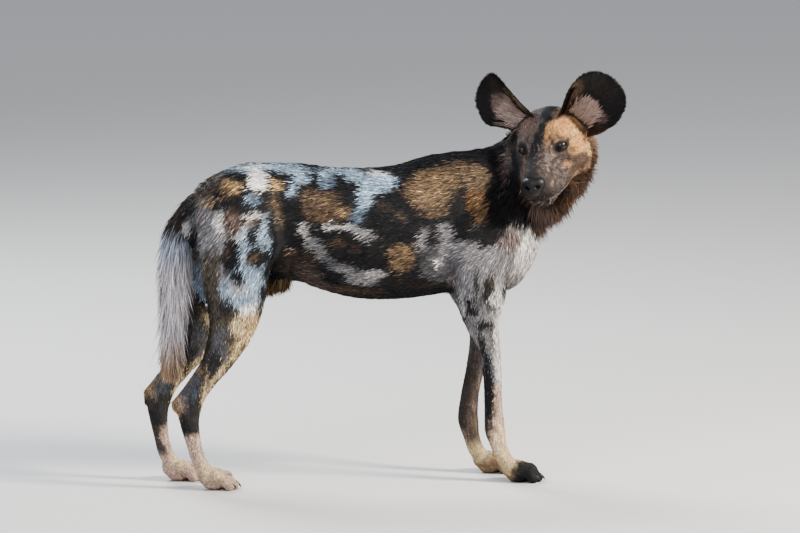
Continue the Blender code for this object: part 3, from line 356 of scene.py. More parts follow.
# The face in the same way, painted once.
FACE_BLOTCHES = [
    (526, 124, 10, 10, 0, "rose", 0.75), (518, 138, 6, 8, 0, "mauve", 0.9),
    (562, 127, 14, 9, 0, "peach", 1), (524, 116, 8, 5, -20, "umber", 0.6),
    (529, 132, 4, 6, 0, "umber", 0.5), (568, 115, 12, 4.5, 10, "smoke", 0.7),
    (549, 132, 6, 11, 10, "peach", 0.8), (578, 141, 9, 12, 20, "peach", 0.9),
    (588, 146, 4, 10, 8, "gold", 0.8), (574, 132, 8, 6, 0, "gold", 0.5),
    (548, 155, 6, 5, 0, "mauve", 0.6), (553, 134, 4, 5, 0, "umber", 0.5),
    (566, 138, 10, 2.5, 8, "umber", 0.5), (561, 148, 8.5, 6, 0, "black", 0.85),
    # The thin white streak at (552, 151) below the eye's inner corner is a painted highlight on the wet
    # tear line.
    (563, 157, 10, 4.5, 12, "mole", 0.9), (552, 151, 1.4, 3, -20, "white", 0.6),
    (572, 150, 3, 3, 0, "soot", 0.7), (580, 164, 12, 9, -20, "mole", 0.85),
    (571, 175, 9, 7, 0, "mole", 0.85), (584, 178, 8, 6, 0, "soot", 0.8), (591, 168, 3, 7, 0, "rose", 0.6),
    (555, 166, 10, 7, 0, "smoke", 0.9), (562, 181, 10, 8, 0, "smoke", 0.8),
    (547, 177, 9, 9, 0, "mole", 0.85), (556, 189, 12, 7, -20, "smoke", 0.9),
    (546, 197, 13, 5, 0, "mole", 0.8), (546, 165, 2, 5, 8, "rose", 0.6), (556, 176, 2, 4, 0, "rose", 0.5),
    (551, 184, 1.6, 5, 10, "rose", 0.5), (562, 168, 2, 2.5, 0, "rose", 0.5),
    (553, 159, 2.5, 2, 0, "soot", 0.6), (551, 107, 5.5, 4, 0, "black", 1),
    (546, 117, 4.4, 7, 14, "black", 1), (541, 127, 4.4, 8, 10, "black", 1),
    (537.5, 137, 4.8, 8, 8, "black", 1), (535, 146, 5.4, 7, 8, "black", 1),
    (531, 156, 6.8, 8, 8, "black", 1), (528, 166, 8.5, 8, 0, "black", 1),
    (527, 175, 10, 8, 0, "black", 1), (519, 150, 7, 7, 0, "black", 0.9),
    (517, 162, 6, 10, 0, "black", 0.8), (514, 174, 4, 10, 0, "dark", 0.9),
    (512, 142, 4, 6, 0, "mauve", 0.8), (521, 196, 6, 9, 0, "soot", 0.9), (528, 205, 9, 5, 0, "soot", 0.8),
    (513, 160, 1.6, 6, 12, "rose", 0.6),
]
EAR_BLOTCHES = [
    (503, 108, 10, 15, -32, "mauve", 1), (500, 112, 5, 9, -32, "rose", 0.6),
    (514, 96, 5, 13, -36, "umber", 0.85), (496, 90, 5, 9, -30, "dark", 0.8),
    (585, 114, 8, 9, 0, "rose", 0.8), (575, 94, 7, 11, 16, "brown", 0.95),
    (572, 90, 3, 7, 16, "umber", 0.9), (600, 118, 7, 5, 0, "mauve", 0.7),
]


class Form:
    """A shape known by its distance function, and the box that holds it."""

    def __init__(self, distance, low, high):
        self.distance = distance
        self.low, self.high = np.asarray(low, float), np.asarray(high, float)

    def near(self, p):
        return np.flatnonzero(((p > self.low - REACH) & (p < self.high + REACH)).all(axis=1))


def soft_min(a, b, soft):
    h = np.maximum(soft - np.abs(a - b), 0) / soft
    return np.minimum(a, b) - h * h * soft / 4


def ball(centre, radii):
    c, r = np.asarray(centre, float), np.broadcast_to(np.asarray(radii, float), 3)

    def distance(p):
        q = p - c
        k0 = np.linalg.norm(q / r, axis=1)
        return k0 * (k0 - 1) / np.maximum(np.linalg.norm(q / r**2, axis=1), 1e-6)

    return Form(distance, c - r, c + r)


def smooth_curve(rows, steps):
    """A curve through the rows, with this many steps between one row and the next."""
    rows = np.asarray(rows, float)
    p = np.vstack([2 * rows[0] - rows[1], rows, 2 * rows[-1] - rows[-2]])
    out = []
    for i in range(len(rows) - 1):
        p0, p1, p2, p3 = p[i : i + 4]
        for t in np.arange(steps) / steps:
            bend = (2 * p0 - 5 * p1 + 4 * p2 - p3) * t**2 + (3 * p1 - p0 - 3 * p2 + p3) * t**3
            out.append(0.5 * (2 * p1 + (p2 - p0) * t + bend))
    out.append(rows[-1])
    return np.array(out)


def chain(rows, steps=4):
    """An oval rod swept along the curve through the rows."""
    c = smooth_curve(rows, steps)
    a, b = c[:-1], c[1:]
    along = b[:, :3] - a[:, :3]
    length2 = (along * along).sum(axis=1)
    side = np.array([0, 1.0, 0]) - along * (along[:, 1] / length2)[:, None]
    side /= np.linalg.norm(side, axis=1)[:, None]

    def distance(p):
        best, out = np.full(len(p), 1e9), np.full(len(p), FAR)
        for k in range(len(a)):
            q = p - a[k, :3]
            t = np.clip(q @ along[k] / length2[k], 0, 1)
            q -= t[:, None] * along[k]
            d2 = (q * q).sum(axis=1)
            i = np.flatnonzero(d2 < best)
            best[i] = d2[i]
            r, w = a[k, 3:5, None] + (b[k, 3:5] - a[k, 3:5])[:, None] * t[i]
            x2 = (q[i] @ side[k]) ** 2
            y2 = np.maximum(d2[i] - x2, 0)
            k0 = np.sqrt(x2 / w**2 + y2 / r**2)
            out[i] = k0 * (k0 - 1) / np.maximum(np.sqrt(x2 / w**4 + y2 / r**4), 1e-6)
        return out

    big = c[:, 3:5].max(axis=1)[:, None]
    return Form(distance, (c[:, :3] - big).min(axis=0), (c[:, :3] + big).max(axis=0))


def bone(a, b, ra, rb, wa=None, wb=None):
    """A tapered rod from a to b: its radii, and its half-widths where they differ."""
    return chain([(*a, ra, wa or ra), (*b, rb, wb or rb)], 1)


def blend(forms, soft):
    forms = list(forms)

    def distance(p):
        d = np.full(len(p), FAR)
        for form in forms:
            i = form.near(p)
            if len(i):
                d[i] = soft_min(d[i], form.distance(p[i]), soft)
        return d

    low, high = [f.low for f in forms], [f.high for f in forms]
    return Form(distance, np.min(low, axis=0), np.max(high, axis=0))


def carve(form, cutter, soft):
    def distance(p):
        d = form.distance(p)
        i = cutter.near(p)
        if len(i):
            d[i] = -soft_min(-d[i], cutter.distance(p[i]), soft)
        return d

    return Form(distance, form.low, form.high)


def placed(form, origin, axes):
    """A form drawn in its own frame, whose x, y and z directions are the rows of axes."""
    o, m = np.asarray(origin, float), np.asarray(axes, float)
    ends = np.array([form.low, form.high])
    corners = [[ends[i, 0], ends[j, 1], ends[k, 2]] for i in (0, 1) for j in (0, 1) for k in (0, 1)]
    corners = np.array(corners) @ m + o
    return Form(lambda p: form.distance((p - o) @ m.T), corners.min(axis=0), corners.max(axis=0))


def both_sides(form):
    """The form and its mirror image across y = 0, in its own frame."""
    wide = max(abs(form.low[1]), abs(form.high[1]))
    low, high = (form.low[0], -wide, form.low[2]), (form.high[0], wide, form.high[2])
    return Form(lambda p: form.distance(np.column_stack([p[:, 0], np.abs(p[:, 1]), p[:, 2]])), low, high)


def head_axes():
    yaw, pitch, roll = (math.radians(a) for a in (HEAD_YAW, HEAD_PITCH, HEAD_ROLL))
    ahead = np.array([math.cos(pitch) * math.cos(yaw), math.cos(pitch) * math.sin(yaw), math.sin(pitch)])
    left = np.array([-math.sin(yaw), math.cos(yaw), 0])
    left = math.cos(roll) * left + math.sin(roll) * np.cross(ahead, left)
    return np.array([ahead, left, np.cross(ahead, left)])


HEAD = head_axes()


def to_world(point):
    return np.array(point) @ HEAD + np.array(HEAD_AT)


def in_head(p):
    return (p - np.array(HEAD_AT)) @ HEAD.T


def skull():
    pair = both_sides
    forms = [
        ball((-0.014, 0, 0.013), (0.078, 0.062, 0.055)),
        ball((0.040, 0, 0.010), (0.052, 0.046, 0.040)),
        pair(ball((0.010, 0.046, -0.024), (0.056, 0.034, 0.046))),
        pair(ball((-0.022, 0.042, -0.036), (0.050, 0.038, 0.052))),
        bone((0.040, 0, -0.032), (0.126, 0, -0.052), 0.050, 0.036, 0.050, 0.035),
        bone((0.058, 0, -0.004), (0.150, 0, -0.034), 0.026, 0.0215, 0.022, 0.020),
        pair(bone((0.060, 0.030, -0.058), (0.138, 0.018, -0.064), 0.024, 0.020, 0.021, 0.018)),
        bone((-0.010, 0, -0.070), (0.124, 0, -0.090), 0.028, 0.016, 0.044, 0.024),
        pair(ball((0.052, 0.038, 0.024), (0.026, 0.018, 0.012))),
    ]
    return blend(forms, 0.022)


SKULL = placed(skull(), HEAD_AT, HEAD)


def face():
    """The skull's flesh with its eye sockets, lids and the line of the mouth."""
    eye = np.array(EYE_AT)
    form = carve(skull(), both_sides(ball(eye + (0.008, 0.005, 0), 0.0125)), 0.008)
    form = blend([form, both_sides(ball(eye, EYE_RADIUS + LID))], 0.006)
    form = carve(form, both_sides(ball(eye + (0.0085, 0.0065, -0.0005), (0.0115, 0.0115, 0.0066))), 0.002)
    lips = [(0.166, 0, -0.082), (0.152, 0.022, -0.083), (0.120, 0.037, -0.083), (0.085, 0.047, -0.081)]
    lips.append((0.048, 0.058, -0.074))
    return carve(form, both_sides(chain([(*p, 0.0024, 0.0045) for p in lips], 3)), 0.003)


def nose_pad():
    upper = ball((0.158, -0.001, -0.041), (0.020, 0.0275, 0.0190))
    lower = ball((0.161, 0, -0.056), (0.012, 0.014, 0.012))
    pad = blend([upper, lower], 0.010)
    hole = bone((0.186, 0.0095, -0.0465), (0.168, 0.0135, -0.043), 0.0052, 0.0048, 0.0056, 0.0048)
    slit = bone((0.176, 0.0185, -0.0515), (0.160, 0.026, -0.054), 0.0020, 0.0020, 0.0024, 0.0024)
    groove = bone((0.1815, 0, -0.036), (0.1765, 0, -0.072), 0.0013, 0.0013)
    form = carve(carve(pad, both_sides(hole), 0.002), both_sides(slit), 0.0015)
    return carve(form, groove, 0.0015)


def ear_frame(side):
    """Where an ear is rooted, and its directions: out of the cup, across it, and along it."""
    sign, root, lean, turn, _ = EARS[side]
    lean, turn = math.radians(lean), math.radians(turn)
    along = np.array([0.02, sign * math.sin(lean), math.cos(lean)])
    along /= np.linalg.norm(along)
    facing = np.array([math.cos(turn), sign * math.sin(turn), 0])
    facing -= along * (facing @ along)
    facing /= np.linalg.norm(facing)
    return to_world(root), np.array([facing, np.cross(along, facing), along]) @ HEAD


def ear_edge(side, across, z):
    """The half-width of an ear's sheet at a height, on the side where the place is."""
    out = across * EARS[side][0] > 0
    return np.where(out, np.interp(z, EAR_HEIGHTS, EAR_OUTER[side]), np.interp(z, EAR_HEIGHTS, EAR_INNER))


def ear_cup(side):
    belly, long = EAR_HEIGHTS[-1], EARS[side][4]

    def distance(p):
        x, y, z = p[:, 0], p[:, 1], p[:, 2] / long
        x = x + np.clip(z, 0, 1) ** 2
        radius = np.interp(z, *EAR_RADIUS)
        across = radius * np.arctan2(y, radius - x)
        sheet = np.abs(np.hypot(y, radius - x) - radius) - EAR_THICK / 2
        wide = ear_edge(side, across, z)
        above = np.abs(across / wide) ** EAR_ROUND + (np.maximum(z - belly, 0) / EAR_TOP) ** EAR_ROUND
        rim = (above ** (1 / EAR_ROUND) - 1) * EAR_TOP
        edge = np.where(z > belly, rim, np.abs(across) - wide)
        edge = edge + 0.0012 * np.sin(260 * z + 3 * np.sin(190 * z)) * (np.abs(across) > 0.03)
        if side == "right":
            torn = np.hypot(across - TORN_AT[0], z - TORN_AT[1])
            edge = np.maximum(edge, TORN_SIZE - torn)
        return np.maximum(sheet, np.maximum(edge, -0.028 - z))

    return Form(distance, (-0.05, -0.10, -0.035), (0.11, 0.10, 0.16))


def foot(sign, at, stagger):
    """Four toes and a pad on the ground, toes along +x."""
    forms = [bone((0.006, 0, 0.030), (0.035, 0, 0.020), 0.021, 0.017, 0.024, 0.026)]
    forms.append(ball((0.022, 0, 0.012), (0.024, 0.024, 0.0145)))
    for y, back in TOES:
        knuckle, tip = (0.052 - back, y, 0.028), (0.067 - back, y * 1.02, 0.0095)
        forms.append(bone((0.030 - 0.6 * back, 0.8 * y, 0.034), knuckle, 0.0145, 0.0125, 0.0125, 0.012))
        forms.append(bone(knuckle, tip, 0.0125, 0.0115, 0.012, 0.011))
    return placed(blend(forms, 0.006), (at[0] + stagger, sign * at[1], 0), np.eye(3))


def staggered(rows, stagger):
    """The left leg, from the rows of the right one."""
    return [(x + np.interp(z, *stagger), -y, z, r, w) for x, y, z, r, w in rows]


def shoulder(sign):
    return [
        bone((0.215, sign * 0.056, 0.655), (0.262, sign * 0.074, 0.540), 0.075, 0.062, 0.032, 0.034),
        bone((0.288, sign * 0.074, 0.530), (0.260, sign * 0.080, 0.430), 0.046, 0.045, 0.032, 0.032),
        bone((0.227, sign * 0.070, 0.560), (0.242, sign * 0.080, 0.440), 0.045, 0.038, 0.028, 0.030),
    ]


def hock(sign, stagger):
    """The heel and the tendon that runs up from it."""
    y = sign * 0.070
    heel = bone((stagger - 0.414, y, 0.200), (stagger - 0.438, y, 0.192), 0.016, 0.014, 0.012, 0.010)
    top = (0.9 * stagger - 0.386, sign * 0.076, 0.270)
    return [heel, bone(top, (stagger - 0.441, y, 0.200), 0.010, 0.009, 0.007, 0.007)]


def flesh():
    """The whole animal but for its ears and nose pad."""
    trunk = blend([chain(TRUNK), chain(NECK)], 0.06)
    brisket = bone((0.322, 0, 0.545), (0.312, 0, 0.482), 0.064, 0.052, 0.062, 0.050)
    body = blend([trunk, brisket, *shoulder(-1), *shoulder(1)], 0.035)
    legs = [chain(HIND_LEG), chain(staggered(HIND_LEG, HIND_STAGGER))]
    legs += [chain(FORELEG), chain(staggered(FORELEG, FORE_STAGGER))]
    body = blend([body, *legs], 0.03)
    body = blend([body, *hock(-1, 0), *hock(1, HIND_STAGGER[1][1])], 0.012)
    feet = [foot(-1, FORE_FOOT, 0), foot(1, FORE_FOOT, FORE_STAGGER[1][0])]
    feet += [foot(-1, HIND_FOOT, 0), foot(1, HIND_FOOT, HIND_STAGGER[1][0])]
    body = blend([body, *feet], 0.010)
    sheath = bone((-0.160, 0, 0.482), (-0.205, 0, 0.464), 0.018, 0.015)
    throat = bone((0.455, -0.020, 0.705), (0.400, -0.015, 0.650), 0.046, 0.044)
    body = blend([body, sheath, chain(TAIL)], 0.02)
    body = blend([body, throat, placed(face(), HEAD_AT, HEAD)], 0.03)
    ears = [placed(ear_cup(side), *ear_frame(side)) for side in EARS]
    return blend([body, *ears], 0.006)


def ease(x, low, high):
    """0 below low, 1 above high, smooth between them; low may be the larger."""
    t = np.clip((x - low) / (high - low), 0, 1)
    return t * t * (3 - 2 * t)


def face_share(p):
    """1 on the face and skull, 0 well away from them."""
    h = (in_head(p) - (0.045, 0, -0.015)) / (0.135, 0.082, 0.085)
    return ease(np.linalg.norm(h, axis=1), 1.25, 0.95)


def coat_depth(p):
    """How far inside the solids the skin lies."""
    deep = np.interp(p[:, 2], (0.0, 0.16, 0.40, 0.50), (0.0008, 0.0012, 0.0025, 0.0038))
    deep = deep + (0.0012 - deep) * face_share(p)
    ears = np.maximum(near_sheet(p, "left"), near_sheet(p, "right"))
    return deep + (0.0006 - deep) * ears


def near_sheet(p, side):
    """1 on an ear's sheet, 0 away from it."""
    root, axes = ear_frame(side)
    q = (p - root) @ axes.T
    z = q[:, 2] / EARS[side][4]
    radius = np.interp(z, *EAR_RADIUS)
    sheet = np.abs(np.hypot(q[:, 1], radius - q[:, 0] - np.clip(z, 0, 1) ** 2) - radius)
    inside = (np.abs(q[:, 1]) < 0.11) & (q[:, 0] < 0.12) & (z > -0.034) & (z < 0.16)
    return ease(sheet, 0.010, 0.006) * inside


def fine_field(form, low, cells, step, coarse=4):
    """Distances on a grid, worked out only near the surface."""
    blocks = np.ceil(np.asarray(cells) / coarse).astype(int)
    axes = [low[k] + step * coarse * (np.arange(blocks[k]) + 0.5) for k in range(3)]
    middle = np.stack(np.meshgrid(*axes, indexing="ij"), -1).reshape(-1, 3)
    far = form.distance(middle)
    field = (np.sign(far).reshape(blocks) * FAR).astype(np.float32)
    for k in range(3):
        field = np.repeat(field, coarse, axis=k)
    near = np.flatnonzero(np.abs(far) < step * coarse * 1.3)
    start = np.stack(np.unravel_index(near, blocks), -1) * coarse
    inner = np.stack(np.meshgrid(*[np.arange(coarse)] * 3, indexing="ij"), -1).reshape(-1, 3)
    cell = (start[:, None] + inner).reshape(-1, 3)
    field[tuple(cell.T)] = form.distance(low + step * (cell + 0.5))
    for k in range(3):
        edge = [slice(None)] * 3
        for edge[k] in (0, -1):
            field[tuple(edge)] = FAR
    return field


def net_points(field, cells):
    """One point in each cell that the surface passes, at the middle of its crossings."""
    point, weight = np.zeros((len(cells), 3)), np.zeros(len(cells))
    for corner in np.ndindex(2, 2, 2):
        for k in range(3):
            if corner[k]:
                continue
            ahead = np.array(corner)
            ahead[k] = 1
            a, b = field[tuple((cells + corner).T)], field[tuple((cells + ahead).T)]
            cross = (a < 0) != (b < 0)
            place = np.tile(np.array(corner, float), (len(cells), 1))
            place[:, k] = a / np.where(cross, a - b, 1)
            point += place * cross[:, None]
            weight += cross
    return cells + point / weight[:, None]


def net_quads(inside, number, k):
    """The quads across the grid edges that run along axis k."""
    i, j = (k + 1) % 3, (k + 2) % 3
    here, ahead = [slice(None)] * 3, [slice(None)] * 3
    here[k], ahead[k] = slice(0, -1), slice(1, None)
    edge = np.argwhere(inside[tuple(here)] != inside[tuple(ahead)])
    quad = []
    for di, dj in ((1, 1), (0, 1), (0, 0), (1, 0)):
        cell = edge.copy()
        cell[:, i] -= di
        cell[:, j] -= dj
        quad.append(number[tuple(cell.T)])
    quad = np.stack(quad, -1)
    outward = inside[tuple(edge.T)]
    quad[~outward] = quad[~outward][:, ::-1]
    return quad


def surface_net(form, low, high, step):
    """Points and quads over the surface of a form inside a box."""
    low = np.asarray(low, float)
    field = fine_field(form, low, np.ceil((np.asarray(high) - low) / step).astype(int), step)
    inside = field < 0
    nx, ny, nz = np.array(field.shape) - 1
    corners = np.zeros((nx, ny, nz), np.uint8)
    for x, y, z in np.ndindex(2, 2, 2):
        corners += inside[x : nx + x, y : ny + y, z : nz + z]
    cells = np.argwhere((corners > 0) & (corners < 8))
    number = np.full(corners.shape, -1, np.int32)
    number[tuple(cells.T)] = np.arange(len(cells))
    quads = np.concatenate([net_quads(inside, number, k) for k in range(3)])
    return low + step * (net_points(field, cells) + 0.5), quads


def relaxed(points, quads, rounds):
    """Smooths a net without shrinking it."""
    ends = np.concatenate([quads[:, [k, (k + 1) % 4]] for k in range(4)])
    a, b = np.concatenate([ends, ends[:, ::-1]]).T
    count = np.bincount(a, minlength=len(points))[:, None]
    for pull in (0.5, -0.52) * rounds:
        mean = np.stack([np.bincount(a, points[b, k], len(points)) for k in range(3)], -1) / count
        points = points + pull * (mean - points)
    return points


def kept(points, quads, wanted):
    """The part of a net whose quads are wanted."""
    quads = quads[wanted(points[quads].mean(axis=1))]
    used, index = np.unique(quads, return_inverse=True)
    return points[used], index.reshape(quads.shape)


def normals_of(points, quads):
    a, b, c, d = (points[quads[:, k]] for k in range(4))
    n = np.cross(c - a, d - b)
    out = np.stack([np.bincount(quads.ravel(), np.repeat(n[:, k], 4), len(points)) for k in range(3)], -1)
    return out / np.maximum(np.linalg.norm(out, axis=1), 1e-12)[:, None]


def draw_skin():
    """The skin as two nets that overlap under the neck's hair."""
    whole = flesh()
    form = Form(lambda p: whole.distance(p) + coat_depth(p), whole.low, whole.high)
    cut, way = np.array(HEAD_CUT[0]), np.array(HEAD_CUT[1]) / np.linalg.norm(HEAD_CUT[1])

    def ahead(p):
        return np.where(p[:, 2] > 0.80, 1.0, (p - cut) @ way)

    body = surface_net(form, *BODY_BOX, BODY_STEP)
    body = kept(relaxed(body[0], body[1], 4), body[1], lambda p: ahead(p) < 0.004)
    head = surface_net(form, *HEAD_BOX, HEAD_STEP)
    head = kept(relaxed(head[0], head[1], 1), head[1], lambda p: ahead(p) > -0.004)
    points = np.vstack([body[0], head[0]])
    quads = np.vstack([body[1], head[1] + len(body[0])])
    normals = np.vstack([normals_of(*body), normals_of(*head)])
    return points, quads, normals


def noise(p, scale, seed):
    """Smooth noise from 0 to 1, each blob about 1 / scale across."""
    table = np.random.default_rng(seed).random((32, 32, 32))
    q = p * scale + 500
    i = np.floor(q).astype(int)
    f = q - i
    f = f * f * (3 - 2 * f)
    out = np.zeros(len(p))
    for corner in np.ndindex(2, 2, 2):
        share = np.prod(np.where(corner, f, 1 - f), axis=1)
        out += share * table[tuple(((i + corner) % 32).T)]
    return out


def mixed(colours, tone, share):
    return colours + (np.array(tone) - colours) * share[:, None]


def plain(tone, count):
    """One tone, once for each place."""
    return np.tile(np.array(tone), (count, 1))


def wobble(p, scale, seed):
    """A smooth random shift of up to a half along each axis."""
    return np.stack([noise(p, scale, seed + k) - 0.5 for k in range(3)], -1)


def pixel_of(p):
    """Where points fall in the photograph's frame."""
    return CENTRE[0] + PER_METRE * (p @ VIEW_RIGHT), CENTRE[1] - PER_METRE * (p @ VIEW_UP)


class Coat:
    """The tone of the coat at any place, from blotches set on the skin where the photograph shows them."""

    def __init__(self, points, normals):
        facing = normals @ VIEW_BACK > 0.15
        self.points, self.near = points[facing], points[facing] @ VIEW_BACK
        self.u, self.v = pixel_of(self.points)
        self.body_marks = [self.mark(*row, 1.5, 8) for row in BLOTCHES]
        self.face_marks = [self.mark(*row, 1.1, 4) for row in FACE_BLOTCHES]
        self.ear_marks = [self.mark(*row, 1.1, 4) for row in EAR_BLOTCHES]

    def mark(self, x, y, rx, ry, tilt, tone, share, deep, more):
        """A blotch as an ellipsoid round the place on the skin that the pixel shows."""
        off = np.hypot(self.u - x, self.v - y)
        found = np.flatnonzero(off < off.min() + 3)
        k = found[np.argmax(self.near[found])]
        centre = self.points[k] + VIEW_RIGHT * (x - self.u[k]) / PER_METRE
        turn = math.radians(tilt)
        across = math.cos(turn) * VIEW_RIGHT - math.sin(turn) * VIEW_UP
        down = math.sin(turn) * VIEW_RIGHT + math.cos(turn) * VIEW_UP
        radii = np.array([rx, ry, deep * max(rx, ry) + more]) / PER_METRE
        axes = np.array([across, down, VIEW_BACK]) / radii[:, None]
        return centre, axes, TONE[tone], share, radii.min()

    def painted(self, out, q, marks, fine):
        for centre, axes, tone, share, size in marks:
            d = q - centre
            i = np.flatnonzero((np.abs(d) < 0.24).all(axis=1))
            k = np.linalg.norm(d[i] @ axes.T, axis=1)
            soft = min(0.55, 0.0040 / size)
            out[i] = mixed(out[i], tone, share * ease(k + fine[i] * soft * 1.8, 1 + soft, 1 - soft))
        return out

    def body(self, p):
        left = p[:, 1] > 0
        q = p.copy()
        fore = np.interp(p[:, 2], *FORE_STAGGER)
        stagger = np.where(p[:, 0] > 0, fore, np.interp(p[:, 2], *HIND_STAGGER))
        q[left, 0] -= (stagger * ease(p[:, 2], 0.62, 0.50))[left]
        q[:, 1] = -np.abs(q[:, 1])
        away = ease(p[:, 1], 0.0, 0.06) * ease(p[:, 2], 0.30, 0.45)
        q += (wobble(p, 9, 31) * 0.09 + (0.030, 0, -0.018)) * away[:, None]
        q += wobble(p, 60, 11) * 0.012
        q += wobble(p, 170, 14) * 0.007
        out = self.painted(plain(TONE["black"], len(p)), q, self.body_marks, noise(p, 240, 21) - 0.5)
        return self.legs(out, p)

    def legs(self, out, p):
        """What the left legs show of their own, and painted shade in the grooves between the toes."""
        far = ease(p[:, 1], 0.02, 0.05) * ease(p[:, 0], 0.15, 0.20) * ease(p[:, 2], 0.36, 0.30)
        far *= ease(p[:, 2], 0.05, 0.09) * (0.55 + 0.6 * noise(p, 50, 24))
        out = mixed(out, LIMB_TONE["far_foreleg"], np.clip(far, 0, 0.92))
        back = np.interp(p[:, 2], (0.05, 0.10, 0.15, 0.20), (-0.440, -0.454, -0.464, -0.468))
        back = back + 0.02 * (noise(p, 40, 25) - 0.5)
        heel = ease(p[:, 1], 0.02, 0.05) * ease(p[:, 0], back + 0.006, back - 0.004)
        heel *= ease(p[:, 2], 0.055, 0.075) * ease(p[:, 2], 0.21, 0.19)
        out = mixed(out, TONE["soot"], heel * 0.9)
        # Painted shade in the grooves between the toes.
        return mixed(out, LIMB_TONE["toe_groove_shade"], self.toe_gaps(p))

    def toe_gaps(self, p):
        """1 in the grooves between the toes, where shade is painted."""
        out = np.zeros(len(p))
        for sign in (-1, 1):
            for at, stagger in ((FORE_FOOT, FORE_STAGGER), (HIND_FOOT, HIND_STAGGER)):
                x = p[:, 0] - at[0] - (stagger[1][0] if sign > 0 else 0)
                y = np.abs(p[:, 1] - sign * at[1])
                middle = ease(y, 0.0026, 0.0008)
                outer = ease(np.abs(y - 0.0195), 0.0026, 0.0008) * ease(x, 0.062, 0.056)
                shown = ease(x, 0.034, 0.042) * ease(x, 0.090, 0.085) * ease(p[:, 2], 0.042, 0.034)
                out = np.maximum(out, np.maximum(middle, outer) * shown)
        return out * 0.85

    def head(self, p):
        """The head's grounds, then its blotches and speckles, then its lines."""
        x, y, z = in_head(p).T
        rough, fine = noise(p, 90, 41) - 0.5, noise(p, 330, 42) - 0.5
        out = self.head_grounds(x, y, z, rough)
        out = self.painted(out, p + wobble(p, 130, 44) * 0.007, self.face_marks, fine)
        speckle = ease(noise(p, 210, 47), 0.60, 0.78) * ease(x, 0.050, 0.085)
        out = mixed(out, HEAD_TONE["speckle"], speckle * 0.65 * ease(x, 0.155, 0.140))
        fleck = ease(noise(p, 150, 48), 0.48, 0.70) * 0.75 * ease(x, 0.045, 0.075)
        out = mixed(out, HEAD_TONE["fleck"], fleck)
        return self.head_lines(out, x, y, z, rough, fine)

    def head_grounds(self, x, y, z, rough):
        """The grey right half, the tan left one, the crown, nape, cheeks and muzzle."""
        left = ease(y + 0.006 * rough, 0.002, 0.014)
        out = mixed(plain(HEAD_TONE["right"], len(x)), HEAD_TONE["left"], left)
        out = mixed(out, HEAD_TONE["crown"], ease(z, 0.045, 0.065) * (1 - 0.4 * left))
        out = mixed(out, HEAD_TONE["nape"], ease(x + 0.02 * rough, -0.015, -0.055) * 0.75)
        cheek = ease(x, 0.045, 0.015) * ease(z, -0.005, -0.030)
        out = mixed(out, HEAD_TONE["left_cheek"], cheek * left)
        out = mixed(out, HEAD_TONE["right_cheek"], cheek * (1 - left) * 0.8)
        muzzle = ease(x + 0.01 * rough, 0.062, 0.095)
        tone = np.where((left > 0.5)[:, None], HEAD_TONE["left_muzzle"], HEAD_TONE["right_muzzle"])
        out = out + (tone - out) * muzzle[:, None]
        return mixed(out, HEAD_TONE["nose_rim"], ease(x + 0.012 * rough, 0.132, 0.158) * 0.85)

    def head_lines(self, out, x, y, z, rough, fine):
        """The dark eye rims, the line over the crown, the lips with a painted highlight along the lower
        one, the mouth and the ruff's ground.
        """
        eye = (np.column_stack([x, np.abs(y), z]) - EYE_AT) / (0.024, 0.024, 0.0135)
        rim = ease(np.linalg.norm(eye, axis=1) + 0.3 * rough, 1.15, 0.80) * 0.95
        out = mixed(out, HEAD_TONE["eye_rim"], rim)
        back = np.interp(x, (-0.09, -0.02, 0.03), (0.020, 0.011, 0.009))
        top = ease(np.abs(y + 0.002) + 0.004 * rough, back + 0.002, back - 0.002)
        out = mixed(out, TONE["black"], top * ease(x, 0.030, 0.015) * ease(z, 0.0, 0.02))
        lip = np.interp(x, (0.05, 0.10, 0.16), (-0.077, -0.083, -0.083))
        edge = ease(np.abs(z - lip + 0.0052), 0.0038, 0.0016) * ease(x, 0.062, 0.080)
        out = mixed(out, HEAD_TONE["jaw"], ease(z + 0.01 * rough, lip - 0.010, lip - 0.020))
        # A pale painted highlight on the lower lip's rim, in a thin band just below the mouth line.
        out = mixed(out, HEAD_TONE["lip"], edge * (0.55 + 0.8 * fine))
        mouth = ease(np.abs(z - lip), 0.0030, 0.0014) * ease(x, 0.045, 0.060)
        out = mixed(out, HEAD_TONE["mouth"], mouth)
        ruff = ease(x + 0.012 * rough, -0.030, -0.060) * ease(z, 0.02, -0.03)
        return mixed(out, HEAD_TONE["ruff"], ruff)

    def ear(self, p, side):
        root, axes = ear_frame(side)
        q = (p - root) @ axes.T
        z, across = q[:, 2] / EARS[side][4], q[:, 1]
        rough = noise(p, 120, 51) - 0.5
        radius = np.interp(z, *EAR_RADIUS)
        inward = radius - np.hypot(across, radius - q[:, 0] - np.clip(z, 0, 1) ** 2)
        inner = ease(inward, -0.0010, 0.0006)
        out = plain(HEAD_TONE["ear"], len(p))
        edge = ease(np.abs(across) + 0.01 * rough, 0.026, 0.040) * ease(z, 0.055, 0.025)
        out = mixed(out, HEAD_TONE["ear_edge"], edge * 0.7)
        shown = self.painted(out.copy(), p, self.ear_marks, noise(p, 300, 52) - 0.5)
        return out + (shown - out) * inner[:, None]

